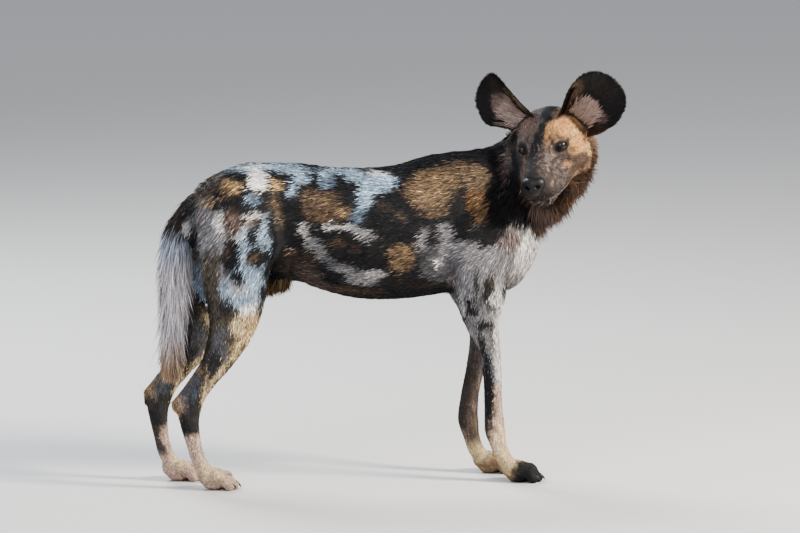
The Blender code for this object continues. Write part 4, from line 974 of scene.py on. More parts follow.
    def tone(self, p):
        """The tone at each place."""
        out = self.body(p)
        cut, way = np.array(HEAD_CUT[0]), np.array(HEAD_CUT[1])
        side = (p - cut) @ way + 0.010 * (noise(p, 70, 61) - 0.5)
        head = np.maximum(ease(side, 0.004, 0.014), ease(p[:, 2], 0.795, 0.805))
        i = np.flatnonzero((head > 0) & (p[:, 2] > 0.60))
        low = head[i] * ease(p[i, 2], 0.60, 0.63)
        out[i] += (self.head(p[i]) - out[i]) * low[:, None]
        for name in EARS:
            share = ear_share(p, name)
            i = np.flatnonzero(share > 0)
            out[i] += (self.ear(p[i], name) - out[i]) * share[i, None]
        tail = tail_share(p)
        hair = mixed(plain(LIMB_TONE["tail"], len(p)), LIMB_TONE["tail_end"], ease(p[:, 2], 0.36, 0.27))
        root = ease(p[:, 2] + 0.05 * (noise(p, 60, 71) - 0.5), 0.585, 0.625)
        hair = mixed(hair, TONE["soot"], root)
        return out + (hair - out) * tail[:, None]

    def streaked(self, p, ways):
        """The tone with strands and clumps of hair that run the way the hair lies."""
        along = p - ways * (p * ways).sum(axis=1)[:, None] * 0.8
        strands, clumps = noise(along, 420, 81) - 0.5, noise(along, 130, 82) - 0.5
        return self.tone(p) * np.exp(1.3 * strands + 0.9 * clumps)[:, None]


def ear_share(p, side):
    """1 on the part of an ear's sheet that stands clear of the skull."""
    out = near_sheet(p, side)
    i = np.flatnonzero(out > 0)
    out[i] *= ease(SKULL.distance(p[i]), 0.003, 0.009)
    return out


def tail_share(p):
    """1 on the tail, 0 on the thighs beside it and below its end."""
    behind = ease(p[:, 0], -0.385, -0.400) * ease(np.abs(p[:, 1]), 0.05, 0.045)
    slope = ease(p[:, 0] + 0.35 * np.clip(0.60 - p[:, 2], 0, 0.12), -0.400, -0.412)
    return behind * ease(p[:, 2], 0.25, 0.27) * slope


def head_way(p):
    """The way the hair points on the head: back from the nose, outward, and down the cheeks."""
    x, y, z = in_head(p).T
    outward = 3.5 * y + 2 * y * ease(x, 0.05, 0.0)
    rise = np.where(z > -0.01, 0.25, -0.35) * ease(x, 0.16, 0.08)
    rise = rise - 0.5 * ease(x, 0.02, -0.04) * ease(z, 0, -0.03)
    return np.column_stack([np.full(len(p), -1.0), outward, rise]) @ HEAD


def lie(p, normals):
    """The way the hair points: from the nose backward, and down the limbs."""
    way = np.tile(np.array((-1.0, 0, -0.30)), (len(p), 1))
    top = ease(normals[:, 2], 0.3, 0.8)
    way[:, 2] *= 1 - top
    neck = ease(p[:, 0], 0.22, 0.32) * ease(p[:, 2], 0.50, 0.58)
    way += (np.array((-0.75, 0, -0.75)) - way) * neck[:, None]
    chest = ease(p[:, 0], 0.26, 0.33) * ease(p[:, 2], 0.62, 0.56)
    way += (np.array((-0.25, 0, -1.0)) - way) * chest[:, None]
    rump = ease(p[:, 0], -0.20, -0.32)
    way += (np.array((-0.65, 0, -0.80)) - way) * rump[:, None]
    arm = ease(p[:, 2], 0.56, 0.46) * ease(np.abs(p[:, 1]), 0.03, 0.05)
    arm *= np.maximum(ease(p[:, 0], 0.17, 0.20), ease(p[:, 0], -0.20, -0.23))
    way += (np.array((-0.20, 0, -1.0)) - way) * arm[:, None]
    leg = ease(p[:, 2], 0.42, 0.36)
    way += (np.array((-0.10, 0, -1.0)) - way) * leg[:, None]
    toes = ease(p[:, 2], 0.055, 0.03)
    way += (np.array((0.9, 0, -0.4)) - way) * toes[:, None]
    head = np.maximum(face_share(p), ease(p[:, 2], 0.80, 0.81))
    way += (head_way(p) - way) * head[:, None]
    for side in EARS:
        root, axes = ear_frame(side)
        q = (p - root) @ axes.T
        fan = np.column_stack([np.zeros(len(p)), 0.9 * q[:, 1] / 0.08, np.full(len(p), 1.0)]) @ axes
        way += (fan - way) * ear_share(p, side)[:, None]
    way -= normals * (way * normals).sum(axis=1)[:, None]
    return way / np.maximum(np.linalg.norm(way, axis=1), 1e-6)[:, None]


def new_object(name, points, faces, material):
    """An object from points and faces that all have the same number of corners."""
    mesh = bpy.data.meshes.new(name)
    mesh.vertices.add(len(points))
    mesh.vertices.foreach_set("co", (np.asarray(points) + SHIFT).astype(np.float32).ravel())
    faces = np.asarray(faces, np.int32)
    n = faces.shape[1]
    mesh.loops.add(faces.size)
    mesh.loops.foreach_set("vertex_index", faces.ravel())
    mesh.polygons.add(len(faces))
    mesh.polygons.foreach_set("loop_start", np.arange(0, faces.size, n, dtype=np.int32))
    mesh.polygons.foreach_set("loop_total", np.full(len(faces), n, np.int32))
    mesh.polygons.foreach_set("use_smooth", np.ones(len(faces), bool))
    mesh.update(calc_edges=True)
    mesh.validate()
    obj = bpy.data.objects.new(name, mesh)
    bpy.context.scene.collection.objects.link(obj)
    mesh.materials.append(material)
    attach(obj, "root")
    return obj


def colour_points(obj, colours):
    """Stores the coat's tone at each point, for the materials to read."""
    layer = obj.data.color_attributes.new("Coat", "FLOAT_COLOR", "POINT")
    rgba = np.ones((len(obj.data.vertices), 4), np.float32)
    rgba[:, :3] = np.clip(colours, 0, 1)
    layer.data.foreach_set("color", rgba.ravel())


TILES = {
    "torso": (0.00, 0.50, 0.60, 0.50), "head": (0.60, 0.60, 0.40, 0.40),
    "ear_left": (0.60, 0.40, 0.20, 0.20), "ear_right": (0.80, 0.40, 0.20, 0.20),
    "leg_0": (0.00, 0.00, 0.15, 0.50), "leg_1": (0.15, 0.00, 0.15, 0.50),
    "leg_2": (0.30, 0.00, 0.15, 0.50), "leg_3": (0.45, 0.00, 0.15, 0.50),
    "tail": (0.60, 0.00, 0.40, 0.40),
}


def unwrapped(p):
    """Each place on a flat unwrap of the skin: a tile for each limb, slit along its length."""
    out = tiled(p[:, 0] + 0.5, turn_of(p[:, 1], p[:, 2] - 0.58), "torso")
    h = in_head(p)
    head = face_share(p) > 0.2
    round_head = tiled((h[:, 0] + 0.11) / 0.30, turn_of(h[:, 1], h[:, 2] + 0.03), "head")
    out = np.where(head[:, None], round_head, out)
    legs = (p[:, 2] < 0.42) & ~head
    for k, (sx, sy) in enumerate(((1, 1), (1, -1), (-1, 1), (-1, -1))):
        rows = np.array(FORELEG if sx > 0 else HIND_LEG)
        order = np.argsort(rows[:, 2])
        x = np.interp(p[:, 2], rows[order, 2], rows[order, 0])
        if sy > 0:
            x = x + np.interp(p[:, 2], *(FORE_STAGGER if sx > 0 else HIND_STAGGER))
        here = legs & (p[:, 0] * sx > 0) & (p[:, 1] * sy > 0)
        turn = turn_of(p[:, 1] - sy * 0.074, p[:, 0] - x)
        out = np.where(here[:, None], tiled(turn, p[:, 2] / 0.42, f"leg_{k}"), out)
    for side in EARS:
        root, axes = ear_frame(side)
        q = (p - root) @ axes.T
        back = q[:, 0] + q[:, 2] ** 2 < 0
        across = np.where(back, 0.25, 0.75) + q[:, 1] / 0.40
        flat = tiled(across, (q[:, 2] + 0.03) / 0.18, f"ear_{side}")
        out = np.where(ear_share(p, side)[:, None] > 0.3, flat, out)
    tail = tail_share(p) > 0.5
    round_tail = tiled(turn_of(p[:, 1], p[:, 0] + 0.43), (p[:, 2] - 0.2) / 0.5, "tail")
    return np.where(tail[:, None], round_tail, out)


def turn_of(a, b):
    """The angle round an axis, from 0 to 1."""
    return np.arctan2(a, b) / (2 * math.pi) + 0.5


def tiled(u, v, tile):
    """Places from 0 to 1 each way, set into one tile of the map."""
    x, y, wide, high = TILES[tile]
    return np.array((x, y)) + (0.02 + 0.96 * np.clip(np.column_stack([u, v]), 0, 1)) * (wide, high)


def turned(v, axis, angle):
    """Vectors turned about unit axes by angles."""
    c, s = np.cos(angle)[:, None], np.sin(angle)[:, None]
    return v * c + np.cross(axis, v) * s + axis * (v * axis).sum(axis=1)[:, None] * (1 - c)


def hair(name, roots, normals, ways, length, width, lift, bend, colours, rings, rng, material, droop=0.0):
    """Tapered tufts over the skin, each folded along its middle. All sizes are one number for each tuft.
    lift is the rise at the root in radians and bend how much of it is lost by the tip."""
    n = len(roots)
    ways = turned(ways, normals, rng.normal(0, 0.16, n))
    side = np.cross(normals, ways)
    place, points = roots - normals * ROOT_SUNK, []
    step = (length / rings)[:, None]
    for k in range(rings):
        t = k / rings
        rise = lift * (1 - bend * t)
        along = ways * np.cos(rise)[:, None] + normals * np.sin(rise)[:, None]
        along = along + np.array((0, 0, -1.0)) * droop * t
        along /= np.linalg.norm(along, axis=1)[:, None]
        half = (width * (1 - 0.55 * t * t) / 2 * (0.75 if k == 0 else 1))[:, None]
        up = np.cross(along, side)
        points += [place - side * half, place - up * half * TUFT_FOLD * 2, place + side * half]
        place = place + along * step
    points.append(place)
    per = 3 * rings + 1
    points = np.stack(points, 1).reshape(-1, 3)
    faces = (tuft_faces(rings)[None] + np.arange(n)[:, None, None] * per).reshape(-1, 3)
    obj = new_object(name, points, faces, material)
    heights = np.append(np.repeat(np.arange(rings) / rings, 3), 1.0)
    shade = 0.72 + 0.42 * heights
    colour_points(obj, (colours[:, None] * shade[None, :, None]).reshape(-1, 3))
    lay_bake_map(obj, roots, heights, rings)
    return obj


def tuft_faces(rings):
    """The triangles of one tuft: two strips up to the last ring, then the tip."""
    faces = []
    for k in range(rings - 1):
        for a in (0, 1):
            i = 3 * k + a
            faces += [(i, i + 1, i + 4), (i, i + 4, i + 3)]
    for a in (0, 1):
        faces.append((3 * rings - 3 + a, 3 * rings - 2 + a, 3 * rings))
    return np.array(faces)


def lay_bake_map(obj, roots, heights, rings):
    """Gives each tuft a small patch at its root's place on the skin's unwrap."""
    across = np.append(np.tile((0, 0.5, 1.0), rings), 0.5)
    local = np.column_stack([across - 0.5, heights - 0.5]) * BAKE_PATCH
    uv = (unwrapped(roots)[:, None] + local[None]).reshape(-1, 2).astype(np.float32)
    layer = obj.data.uv_layers.new(name="OFBake")
    index = np.empty(len(obj.data.loops), np.int32)
    obj.data.loops.foreach_get("vertex_index", index)
    layer.data.foreach_set("uv", uv[index].ravel())


def scatter(points, quads, normals, per_area, rng):
    """Random places on the skin, as many for each square metre as per_area says."""
    a, b, c, d = (points[quads[:, k]] for k in range(4))
    area = 0.5 * np.linalg.norm(np.cross(c - a, d - b), axis=1)
    want = area * per_area((a + b + c + d) / 4) * COAT_SHARE
    count = np.floor(want + rng.random(len(want))).astype(int)
    face = np.repeat(np.arange(len(quads)), count)
    s, t = rng.random((2, len(face), 1))
    share = [(1 - s) * (1 - t), s * (1 - t), s * t, (1 - s) * t]
    place = sum(w * points[quads[face, k]] for k, w in enumerate(share))
    way = sum(w * normals[quads[face, k]] for k, w in enumerate(share))
    return place, way / np.linalg.norm(way, axis=1)[:, None]


def coat_size(p):
    """Length, width and lift of the short coat at each place."""
    z = p[:, 2]
    ears = np.maximum(ear_share(p, "left"), ear_share(p, "right"))
    length = np.interp(z, (0.0, 0.06, 0.16, 0.35, 0.48, 0.60), (0.004, 0.006, 0.008, 0.011, 0.015, 0.017))
    width = np.interp(z, (0.0, 0.06, 0.16, 0.35, 0.50), (0.0011, 0.0012, 0.0015, 0.0018, 0.0021))
    lift = np.full(len(p), 0.20)
    neck = ease(p[:, 0], 0.24, 0.34) * ease(z, 0.56, 0.62)
    length, lift = length + 0.008 * neck, lift + 0.10 * neck
    face = np.maximum(face_share(p), ease(z, 0.80, 0.81))
    h = in_head(p)
    short = np.interp(h[:, 0], (-0.06, 0.0, 0.06, 0.12, 0.17), (0.013, 0.010, 0.0065, 0.0045, 0.003))
    eye = np.linalg.norm(np.column_stack([h[:, 0], np.abs(h[:, 1]), h[:, 2]]) - EYE_AT, axis=1)
    short = short * (0.45 + 0.55 * ease(eye, 0.014, 0.030))
    length = length + (short - length) * face
    width = width + (0.0009 - width) * face
    lift = lift + (0.22 - lift) * face
    length = length + (0.0075 - length) * ears
    width = width + (0.0010 - width) * ears
    return length, width, lift


def bare(p):
    """Places with no short coat: the nose pad, the eyes' openings, pads and lips."""
    h = in_head(p)
    eye = (np.column_stack([h[:, 0], np.abs(h[:, 1]), h[:, 2]]) - EYE_AT) / (0.013, 0.013, 0.0085)
    nose = (h - (0.162, 0, -0.046)) / (0.022, 0.026, 0.024)
    on_face = (np.linalg.norm(eye, axis=1) < 1) | (np.linalg.norm(nose, axis=1) < 1)
    return on_face | (p[:, 2] < 0.006)


def grow_coat(points, quads, normals, coat, material):
    """The short coat over the whole skin, in pieces of at most so many tufts."""
    rng = np.random.default_rng(5)

    def per_area(p):
        length, width, _ = coat_size(p)
        cover = np.where(p[:, 2] > 0.80, 1.7, 1.4)
        return cover / (0.6 * length * width) * ~bare(p)

    roots, ways = scatter(points, quads, normals, per_area, rng)
    order = np.argsort(roots[:, 0] + 0.2 * roots[:, 2])
    roots, up = roots[order], ways[order]
    length, width, lift = coat_size(roots)
    n = len(roots)
    length, width = length * rng.uniform(0.75, 1.3, n), width * rng.uniform(0.8, 1.3, n)
    flow = lie(roots, up)
    on_face = np.maximum(face_share(roots), ease(roots[:, 2], 0.80, 0.81))
    stray = rng.normal(0, 1, (n, 3)) * np.where(rng.random(n) < 0.08, 0.009, 0.0030)[:, None]
    stray *= (1 - 0.6 * on_face)[:, None]
    tone = coat.streaked(roots + stray, flow) * np.exp(rng.normal(0, 0.25, n))[:, None]
    warm = tone[:, 0] / (tone[:, 2] + 0.01) > 1.25
    grizzled = (rng.random(n) < 0.24) & warm & (tone[:, 0] < 0.5)
    tone[grizzled] *= 0.30
    bright = (rng.random(n) < 0.10) & warm
    tone[bright] *= 1.7
    frosted = rng.random(n) < 0.02
    tone[frosted] = tone[frosted] * 0.7 + 0.03
    bend, rings = 1.1, 2
    for k, start in enumerate(range(0, n, TUFTS_PER_PIECE)):
        s = slice(start, start + TUFTS_PER_PIECE)
        rise = lift[s] * rng.uniform(0.6, 1.5, len(roots[s]))
        name = f"coat_{k:02d}"
        sizes = (length[s], width[s], rise, bend)
        obj = hair(name, roots[s], up[s], flow[s], *sizes, tone[s], rings, rng, material)


def grow_ruff(points, quads, normals, material):
    """Long hair under the throat and behind the cheeks."""
    rng = np.random.default_rng(8)

    def where(p):
        h = in_head(p)
        x, y, z = h.T
        cheek = (x > -0.085) & (x < -0.008) & (np.abs(y) > 0.046) & (z < 0.016)
        throat = (x > -0.100) & (x < 0.055) & (z < -0.078)
        ahead = (p - np.array(HEAD_CUT[0])) @ np.array(HEAD_CUT[1])
        fore = ahead > -0.032 + 0.030 * (noise(p, 60, 83) - 0.5)
        high_enough = (p[:, 2] > 0.595) & (p[:, 2] < 0.80)
        return (cheek | throat) & fore & (x < 0.078 - 0.3 * np.abs(y)) & high_enough

    roots, up = scatter(points, quads, normals, lambda p: np.where(where(p), RUFF_PER_AREA, 0.0), rng)
    n = len(roots)
    h = in_head(roots)
    low = np.clip((0.735 - roots[:, 2]) / 0.08, 0, 1)
    ways = -HEAD[0] * (0.9 - 0.65 * low)[:, None]
    ways = ways + np.array((0, 0, -0.9)) * (0.35 + 0.65 * low)[:, None]
    ways += rng.normal(0, 0.22, (n, 3))
    ways -= up * (ways * up).sum(axis=1)[:, None]
    ways /= np.linalg.norm(ways, axis=1)[:, None]
    length = (0.024 + 0.034 * low) * rng.uniform(0.55, 1.2, n)
    tone = plain(LONG_TONE["ruff_low"], n)
    tone = mixed(tone, LONG_TONE["ruff_high"], ease(h[:, 2], -0.06, -0.01))
    right = ease(h[:, 1], -0.01, -0.04)
    tone = mixed(tone, LONG_TONE["ruff_right"], right)
    tone = mixed(tone, LONG_TONE["ruff_light"], (rng.random(n) < 0.12) * 0.6 * (1 - 0.6 * right))
    tone *= np.exp(rng.normal(0, 0.25, n))[:, None]
    lift = rng.uniform(0.40, 0.95, n)
    width = rng.uniform(0.0011, 0.0020, n)
    bend, rings, droop = 0.8, 3, 0.30
    obj = hair("ruff", roots, up, ways, length, width, lift, bend, tone, rings, rng, material, droop)


def grow_tail(material):
    """The brush: long hair down the whole tail."""
    rng = np.random.default_rng(9)
    rows = smooth_curve(TAIL, 6)[6:]
    n = int(TAIL_TUFTS * COAT_SHARE)
    at = rng.random(n) ** 0.85 * (len(rows) - 2)
    k = at.astype(int)
    f = (at - k)[:, None]
    row = rows[k] * (1 - f) + rows[k + 1] * f
    along = rows[k + 1, :3] - rows[k, :3]
    along /= np.linalg.norm(along, axis=1)[:, None]
    turn = rng.random(n) * 2 * math.pi
    side = np.array((0, 1.0, 0))
    fore = np.cross(along, side)
    out = fore * np.cos(turn)[:, None] + side * np.sin(turn)[:, None]
    roots = row[:, :3] + out * row[:, 3:4] * (1, 0.9, 1) * 0.85
    share = at / (len(rows) - 2)
    length = np.interp(share, (0, 0.12, 0.4, 0.8, 1), (0.026, 0.042, 0.100, 0.095, 0.065))
    length = length * rng.uniform(0.75, 1.1, n)
    lift = np.interp(share, (0, 0.2, 0.6, 1), (0.24, 0.40, 0.38, 0.18)) * rng.uniform(0.35, 1.2, n)
    lift *= 1 + 0.35 * np.maximum(-np.cos(turn), 0) * ease(share, 0.15, 0.3)
    lift *= 1 + 0.90 * np.maximum(np.cos(turn), 0) * ease(share, 0.50, 0.20)
    wide = rng.uniform(0.0012, 0.0026, n)
    z = roots[:, 2] + rng.normal(0, 0.008, n)
    tone = mixed(plain(LONG_TONE["brush"], n), LONG_TONE["brush_end"], ease(z, 0.42, 0.32))
    # Painted blue sky shade on the brush's upper part.
    tone = mixed(tone, LONG_TONE["brush_sky_shade"], ease(z, 0.55, 0.59) * 0.7)
    tone = mixed(tone, LONG_TONE["brush_root"], ease(z, 0.600, 0.618))
    strands = noise(np.column_stack([turn * 0.012, z * 0.02, roots[:, 1] * 0]), 420, 91) - 0.5
    tone *= np.exp(rng.normal(0, 0.22, n) + 0.9 * strands)[:, None]
    bend, rings, droop = 1.0, 4, 0.5
    obj = hair("tail_brush", roots, out, along, length, wide, lift, bend, tone, rings, rng, material, droop)
    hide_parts("tail")


def grow_ear_hair(material):
    """Pale hair in the base of each cup, and a fringe round the rim."""
    rng = np.random.default_rng(12)
    parts = []
    for side in EARS:
        n = int(EAR_TUFTS * COAT_SHARE)
        across = rng.normal(0, 0.014, n)
        z = rng.uniform(0.000, 0.045, n)
        parts.append(ear_tufts(side, across, z, rng, 0.030, LONG_TONE["ear_inside"]))
        z = z * 1.6
        rim = -EARS[side][0] * rng.uniform(0.78, 0.99, n) * np.interp(z, EAR_HEIGHTS, EAR_INNER)
        parts.append(ear_tufts(side, rim, z, rng, 0.013, LONG_TONE["ear_rim"]))
    roots, up, ways, length, tone = (np.concatenate(column) for column in zip(*parts))
    width = rng.uniform(0.0011, 0.0021, len(roots))
    lift = rng.uniform(0.15, 0.6, len(roots))
    bend, rings = 0.9, 3
    obj = hair("ear_hair", roots, up, ways, length, width, lift, bend, tone, rings, rng, material)


def ear_tufts(side, across, z, rng, long, tone):
    """Roots, normals, ways, lengths and tones of hair on the inner face of one ear's sheet."""
    root, axes = ear_frame(side)
    n = len(z)
    radius = np.interp(z, *EAR_RADIUS)
    turn = across / radius
    deep = radius - (EAR_THICK / 2 - 0.001)
    out = radius - deep * np.cos(turn) - np.clip(z, 0, 1) ** 2
    local = np.column_stack([out, deep * np.sin(turn), z * EARS[side][4]])
    normal = np.column_stack([np.cos(turn), -np.sin(turn), np.zeros(n)])
    way = np.column_stack([np.zeros(n), 0.8 * np.sin(turn) + rng.normal(0, 0.15, n), np.ones(n)])
    way -= normal * (way * normal).sum(axis=1)[:, None]
    way /= np.linalg.norm(way, axis=1)[:, None]
    tones = plain(tone, n) * np.exp(rng.normal(0, 0.25, n))[:, None]
    return local @ axes + root, normal @ axes, way @ axes, long * rng.uniform(0.6, 1.2, n), tones


def grow_belly_tuft(material):
    """The brush of hair that hangs below the groin."""
    rng = np.random.default_rng(14)
    n = int(BELLY_TUFTS * COAT_SHARE)
    x, turn = rng.uniform(-0.222, -0.168, n), rng.uniform(-1.9, 1.9, n)
    up = np.column_stack([np.full(n, -0.25), np.sin(turn), -np.cos(turn)])
    up /= np.linalg.norm(up, axis=1)[:, None]
    middle = np.column_stack([x, np.zeros(n), np.interp(x, (-0.222, -0.160), (0.464, 0.482))])
    roots = middle + up * 0.011
    ways = np.tile(np.array((-0.25, 0, -1.0)), (n, 1)) + rng.normal(0, 0.12, (n, 3))
    ways -= up * (ways * up).sum(axis=1)[:, None] * 0.7
    ways /= np.linalg.norm(ways, axis=1)[:, None]
    tone = plain(LONG_TONE["belly"], n) * np.exp(rng.normal(0, 0.45, n))[:, None]
    tone *= (0.35 + 0.65 * rng.random(n))[:, None]
    long, wide = rng.uniform(0.014, 0.042, n), rng.uniform(0.0010, 0.0020, n)
    lift = rng.uniform(0.0, 0.35, n)
    bend, rings, droop = 0.2, 3, 0.5
    obj = hair("belly_tuft", roots, up, ways, long, wide, lift, bend, tone, rings, rng, material, droop)


def tree_of(name):
    material = bpy.data.materials.new(name)
    material.use_nodes = True
    tree = material.node_tree
    return material, tree, tree.nodes["Principled BSDF"]


def node(tree, kind, **values):
    made = tree.nodes.new(kind)
    for key, value in values.items():
        if key in made.inputs:
            made.inputs[key].default_value = value
        else:
            setattr(made, key, value)
    return made


def varied_colour(tree, shader, amount, scale):
    """The coat's tone, a little lighter and darker from place to place."""
    tone = node(tree, "ShaderNodeAttribute", attribute_name="Coat")
    place = node(tree, "ShaderNodeTexCoord")
    grain = node(tree, "ShaderNodeTexNoise", Scale=scale, Detail=4.0)
    tree.links.new(place.outputs["Object"], grain.inputs["Vector"])
    spread = node(tree, "ShaderNodeMapRange")
    spread.inputs["To Min"].default_value = 1 - amount
    spread.inputs["To Max"].default_value = 1 + amount
    tree.links.new(grain.outputs["Fac"], spread.inputs["Value"])
    scaled = node(tree, "ShaderNodeVectorMath", operation="SCALE")
    tree.links.new(tone.outputs["Color"], scaled.inputs[0])
    tree.links.new(spread.outputs["Result"], scaled.inputs["Scale"])
    tree.links.new(scaled.outputs["Vector"], shader.inputs["Base Color"])
    return place


def bumped(tree, shader, place, scale, strength, distance, stretch=(1, 1, 1)):
    squeeze = node(tree, "ShaderNodeMapping", Scale=stretch)
    tree.links.new(place.outputs["Object"], squeeze.inputs["Vector"])
    grain = node(tree, "ShaderNodeTexNoise", Scale=scale, Detail=3.0)
    tree.links.new(squeeze.outputs["Vector"], grain.inputs["Vector"])
    bump = node(tree, "ShaderNodeBump", Strength=strength, Distance=distance)
    tree.links.new(grain.outputs["Fac"], bump.inputs["Height"])
    tree.links.new(bump.outputs["Normal"], shader.inputs["Normal"])


def skin_material():
    material, tree, shader = tree_of("skin_under_coat")
    place = varied_colour(tree, shader, 0.35, 260.0)
    shader.inputs["Roughness"].default_value = 0.85
    bumped(tree, shader, place, 420.0, 0.8, 0.0012, (0.35, 1, 0.6))
    return material


def hair_material(name, rough, sheen):
    material, tree, shader = tree_of(name)
    varied_colour(tree, shader, 0.25, 160.0)
    shader.inputs["Roughness"].default_value = rough
    shader.inputs["Specular IOR Level"].default_value = 0.22
    shader.inputs["Sheen Weight"].default_value = sheen
    shader.inputs["Sheen Roughness"].default_value = 0.4
    return material


def nose_material():
    material, tree, shader = tree_of("nose_leather")
    place = node(tree, "ShaderNodeTexCoord")
    pits = node(tree, "ShaderNodeTexVoronoi", Scale=900.0)
    tree.links.new(place.outputs["Object"], pits.inputs["Vector"])
    shade = node(tree, "ShaderNodeValToRGB")
    shade.color_ramp.elements[0].color = (0.009, 0.008, 0.009, 1)
    shade.color_ramp.elements[1].color = (0.003, 0.003, 0.004, 1)
    tree.links.new(pits.outputs["Distance"], shade.inputs["Fac"])
    tree.links.new(shade.outputs["Color"], shader.inputs["Base Color"])
    bump = node(tree, "ShaderNodeBump", Strength=0.5, Distance=0.0006)
    bump.invert = True
    tree.links.new(pits.outputs["Distance"], bump.inputs["Height"])
    tree.links.new(bump.outputs["Normal"], shader.inputs["Normal"])
    shader.inputs["Roughness"].default_value = 0.46
    shader.inputs["Specular IOR Level"].default_value = 0.35
    shader.inputs["Coat Weight"].default_value = 0.12
    shader.inputs["Coat Roughness"].default_value = 0.22
    return material


def eye_material():
    material, tree, shader = tree_of("wet_eye")
    tone = node(tree, "ShaderNodeAttribute", attribute_name="Coat")
    tree.links.new(tone.outputs["Color"], shader.inputs["Base Color"])
    shader.inputs["Roughness"].default_value = 0.30
    shader.inputs["Specular IOR Level"].default_value = 0.25
    shader.inputs["Coat Weight"].default_value = 0.45
    shader.inputs["Coat Roughness"].default_value = 0.04
    return material


def claw_material():
    material, tree, shader = tree_of("claw_horn")
    place = node(tree, "ShaderNodeTexCoord")
    grain = node(tree, "ShaderNodeTexNoise", Scale=300.0, Detail=3.0)
    tree.links.new(place.outputs["Object"], grain.inputs["Vector"])
    shade = node(tree, "ShaderNodeValToRGB")
    shade.color_ramp.elements[0].color = (0.012, 0.010, 0.009, 1)
    shade.color_ramp.elements[1].color = (0.055, 0.042, 0.034, 1)
    tree.links.new(grain.outputs["Fac"], shade.inputs["Fac"])
    tree.links.new(shade.outputs["Color"], shader.inputs["Base Color"])
    shader.inputs["Roughness"].default_value = 0.35
    return material


def make_eyes(material):
    """Wet dark eyes with a brown iris and a low bulge over it."""
    for side, sign in (("left", 1), ("right", -1)):
        bm = bmesh.new()
        bmesh.ops.create_uvsphere(bm, u_segments=48, v_segments=32, radius=1.0)
        unit = np.array([vert.co for vert in bm.verts])
        faces = [[vert.index for vert in face.verts] for face in bm.faces]
        bm.free()
        gaze = np.array((0.93, sign * 0.36, -0.02))
        gaze /= np.linalg.norm(gaze)
        angle = np.degrees(np.arccos(np.clip(unit @ gaze, -1, 1)))
        radius = EYE_RADIUS * (1 + 0.05 * ease(angle, 36, 10))
        points = to_world((EYE_AT[0], sign * EYE_AT[1], EYE_AT[2])) + (unit * radius[:, None]) @ HEAD
        obj = plain_object(f"eye_{side}_ball", points, faces, material)
        tone = mixed(plain(EYE_TONE["ball"], len(points)), EYE_TONE["iris"], ease(angle, 42, 38))
        tone = mixed(tone, EYE_TONE["iris_middle"], ease(angle, 26, 20))
        tone = mixed(tone, EYE_TONE["pupil"], ease(angle, 17, 14))
        colour_points(obj, tone)
        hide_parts(f"eye_{side}")


def plain_object(name, points, faces, material):
    """A smooth object from points and faces of any number of corners."""
    mesh = bpy.data.meshes.new(name)
    mesh.from_pydata([tuple(p) for p in np.asarray(points) + SHIFT], [], [tuple(f) for f in faces])
    mesh.polygons.foreach_set("use_smooth", np.ones(len(faces), bool))
    mesh.materials.append(material)
    obj = bpy.data.objects.new(name, mesh)
    bpy.context.scene.collection.objects.link(obj)
    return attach(obj, "root")


def make_nose(material):
    form = placed(nose_pad(), HEAD_AT, HEAD)
    points, quads = surface_net(form, form.low - 0.004, form.high + 0.004, NOSE_STEP)
    obj = new_object("nose_pad", relaxed(points, quads, 2), quads, material)
    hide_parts("nose")


def tube(path, radii, sides):
    """Points and faces of a tapering tube along a path, closed at its tip."""
    path, points, faces = np.asarray(path, float), [], []
    for k in range(len(path)):
        along = path[min(k + 1, len(path) - 1)] - path[max(k - 1, 0)]
        along /= np.linalg.norm(along)
        side = np.cross(along, (0, 0, 1.0) if abs(along[2]) < 0.9 else (1.0, 0, 0))
        side /= np.linalg.norm(side)
        up = np.cross(side, along)
        for j in range(sides):
            t = 2 * math.pi * j / sides
            points.append(path[k] + (side * math.cos(t) + up * math.sin(t)) * radii[k])
    for k in range(len(path) - 1):
        for j in range(sides):
            a, b = k * sides + j, k * sides + (j + 1) % sides
            faces.append((a, b, b + sides, a + sides))
    faces.append(tuple(range(sides))[::-1])
    faces.append(tuple((len(path) - 1) * sides + j for j in range(sides)))
    return points, faces


def gathered(parts):
    points, faces = [], []
    for p, f in parts:
        faces += [tuple(i + len(points) for i in face) for face in f]
        points += list(p)
    return points, faces


def make_claws(material):
    parts = []
    for sign in (-1, 1):
        for at, stagger in ((FORE_FOOT, FORE_STAGGER), (HIND_FOOT, HIND_STAGGER)):
            x0 = at[0] + (stagger[1][0] if sign > 0 else 0)
            for y, back in TOES:
                path = [(x0 + x - back, sign * at[1] + 1.02 * y, z) for x, z in CLAW_PATH]
                parts.append(tube(path, CLAW_RADII, 10))
    obj = plain_object("claws", *gathered(parts), material)


def make_whiskers(material):
    rng = np.random.default_rng(17)
    parts = []
    for sign in (-1, 1):
        for _ in range(WHISKERS_A_SIDE):
            x, z = 0.105 + 0.035 * rng.random(), -0.058 - 0.018 * rng.random()
            start = np.array((x, sign * (0.032 - 0.10 * (x - 0.105)), z))
            way = np.array((-0.35 + 0.5 * rng.random(), sign * 1.0, -0.45 + 0.5 * rng.random()))
            way /= np.linalg.norm(way)
            long = rng.uniform(0.028, 0.050)
            bend = np.array((-0.2, 0, -0.25))
            path = [to_world(start + long * t * (way + bend * t)) for t in (0, 0.35, 0.7, 1)]
            parts.append(tube(path, WHISKER_RADII, 4))
    obj = plain_object("whiskers", *gathered(parts), material)


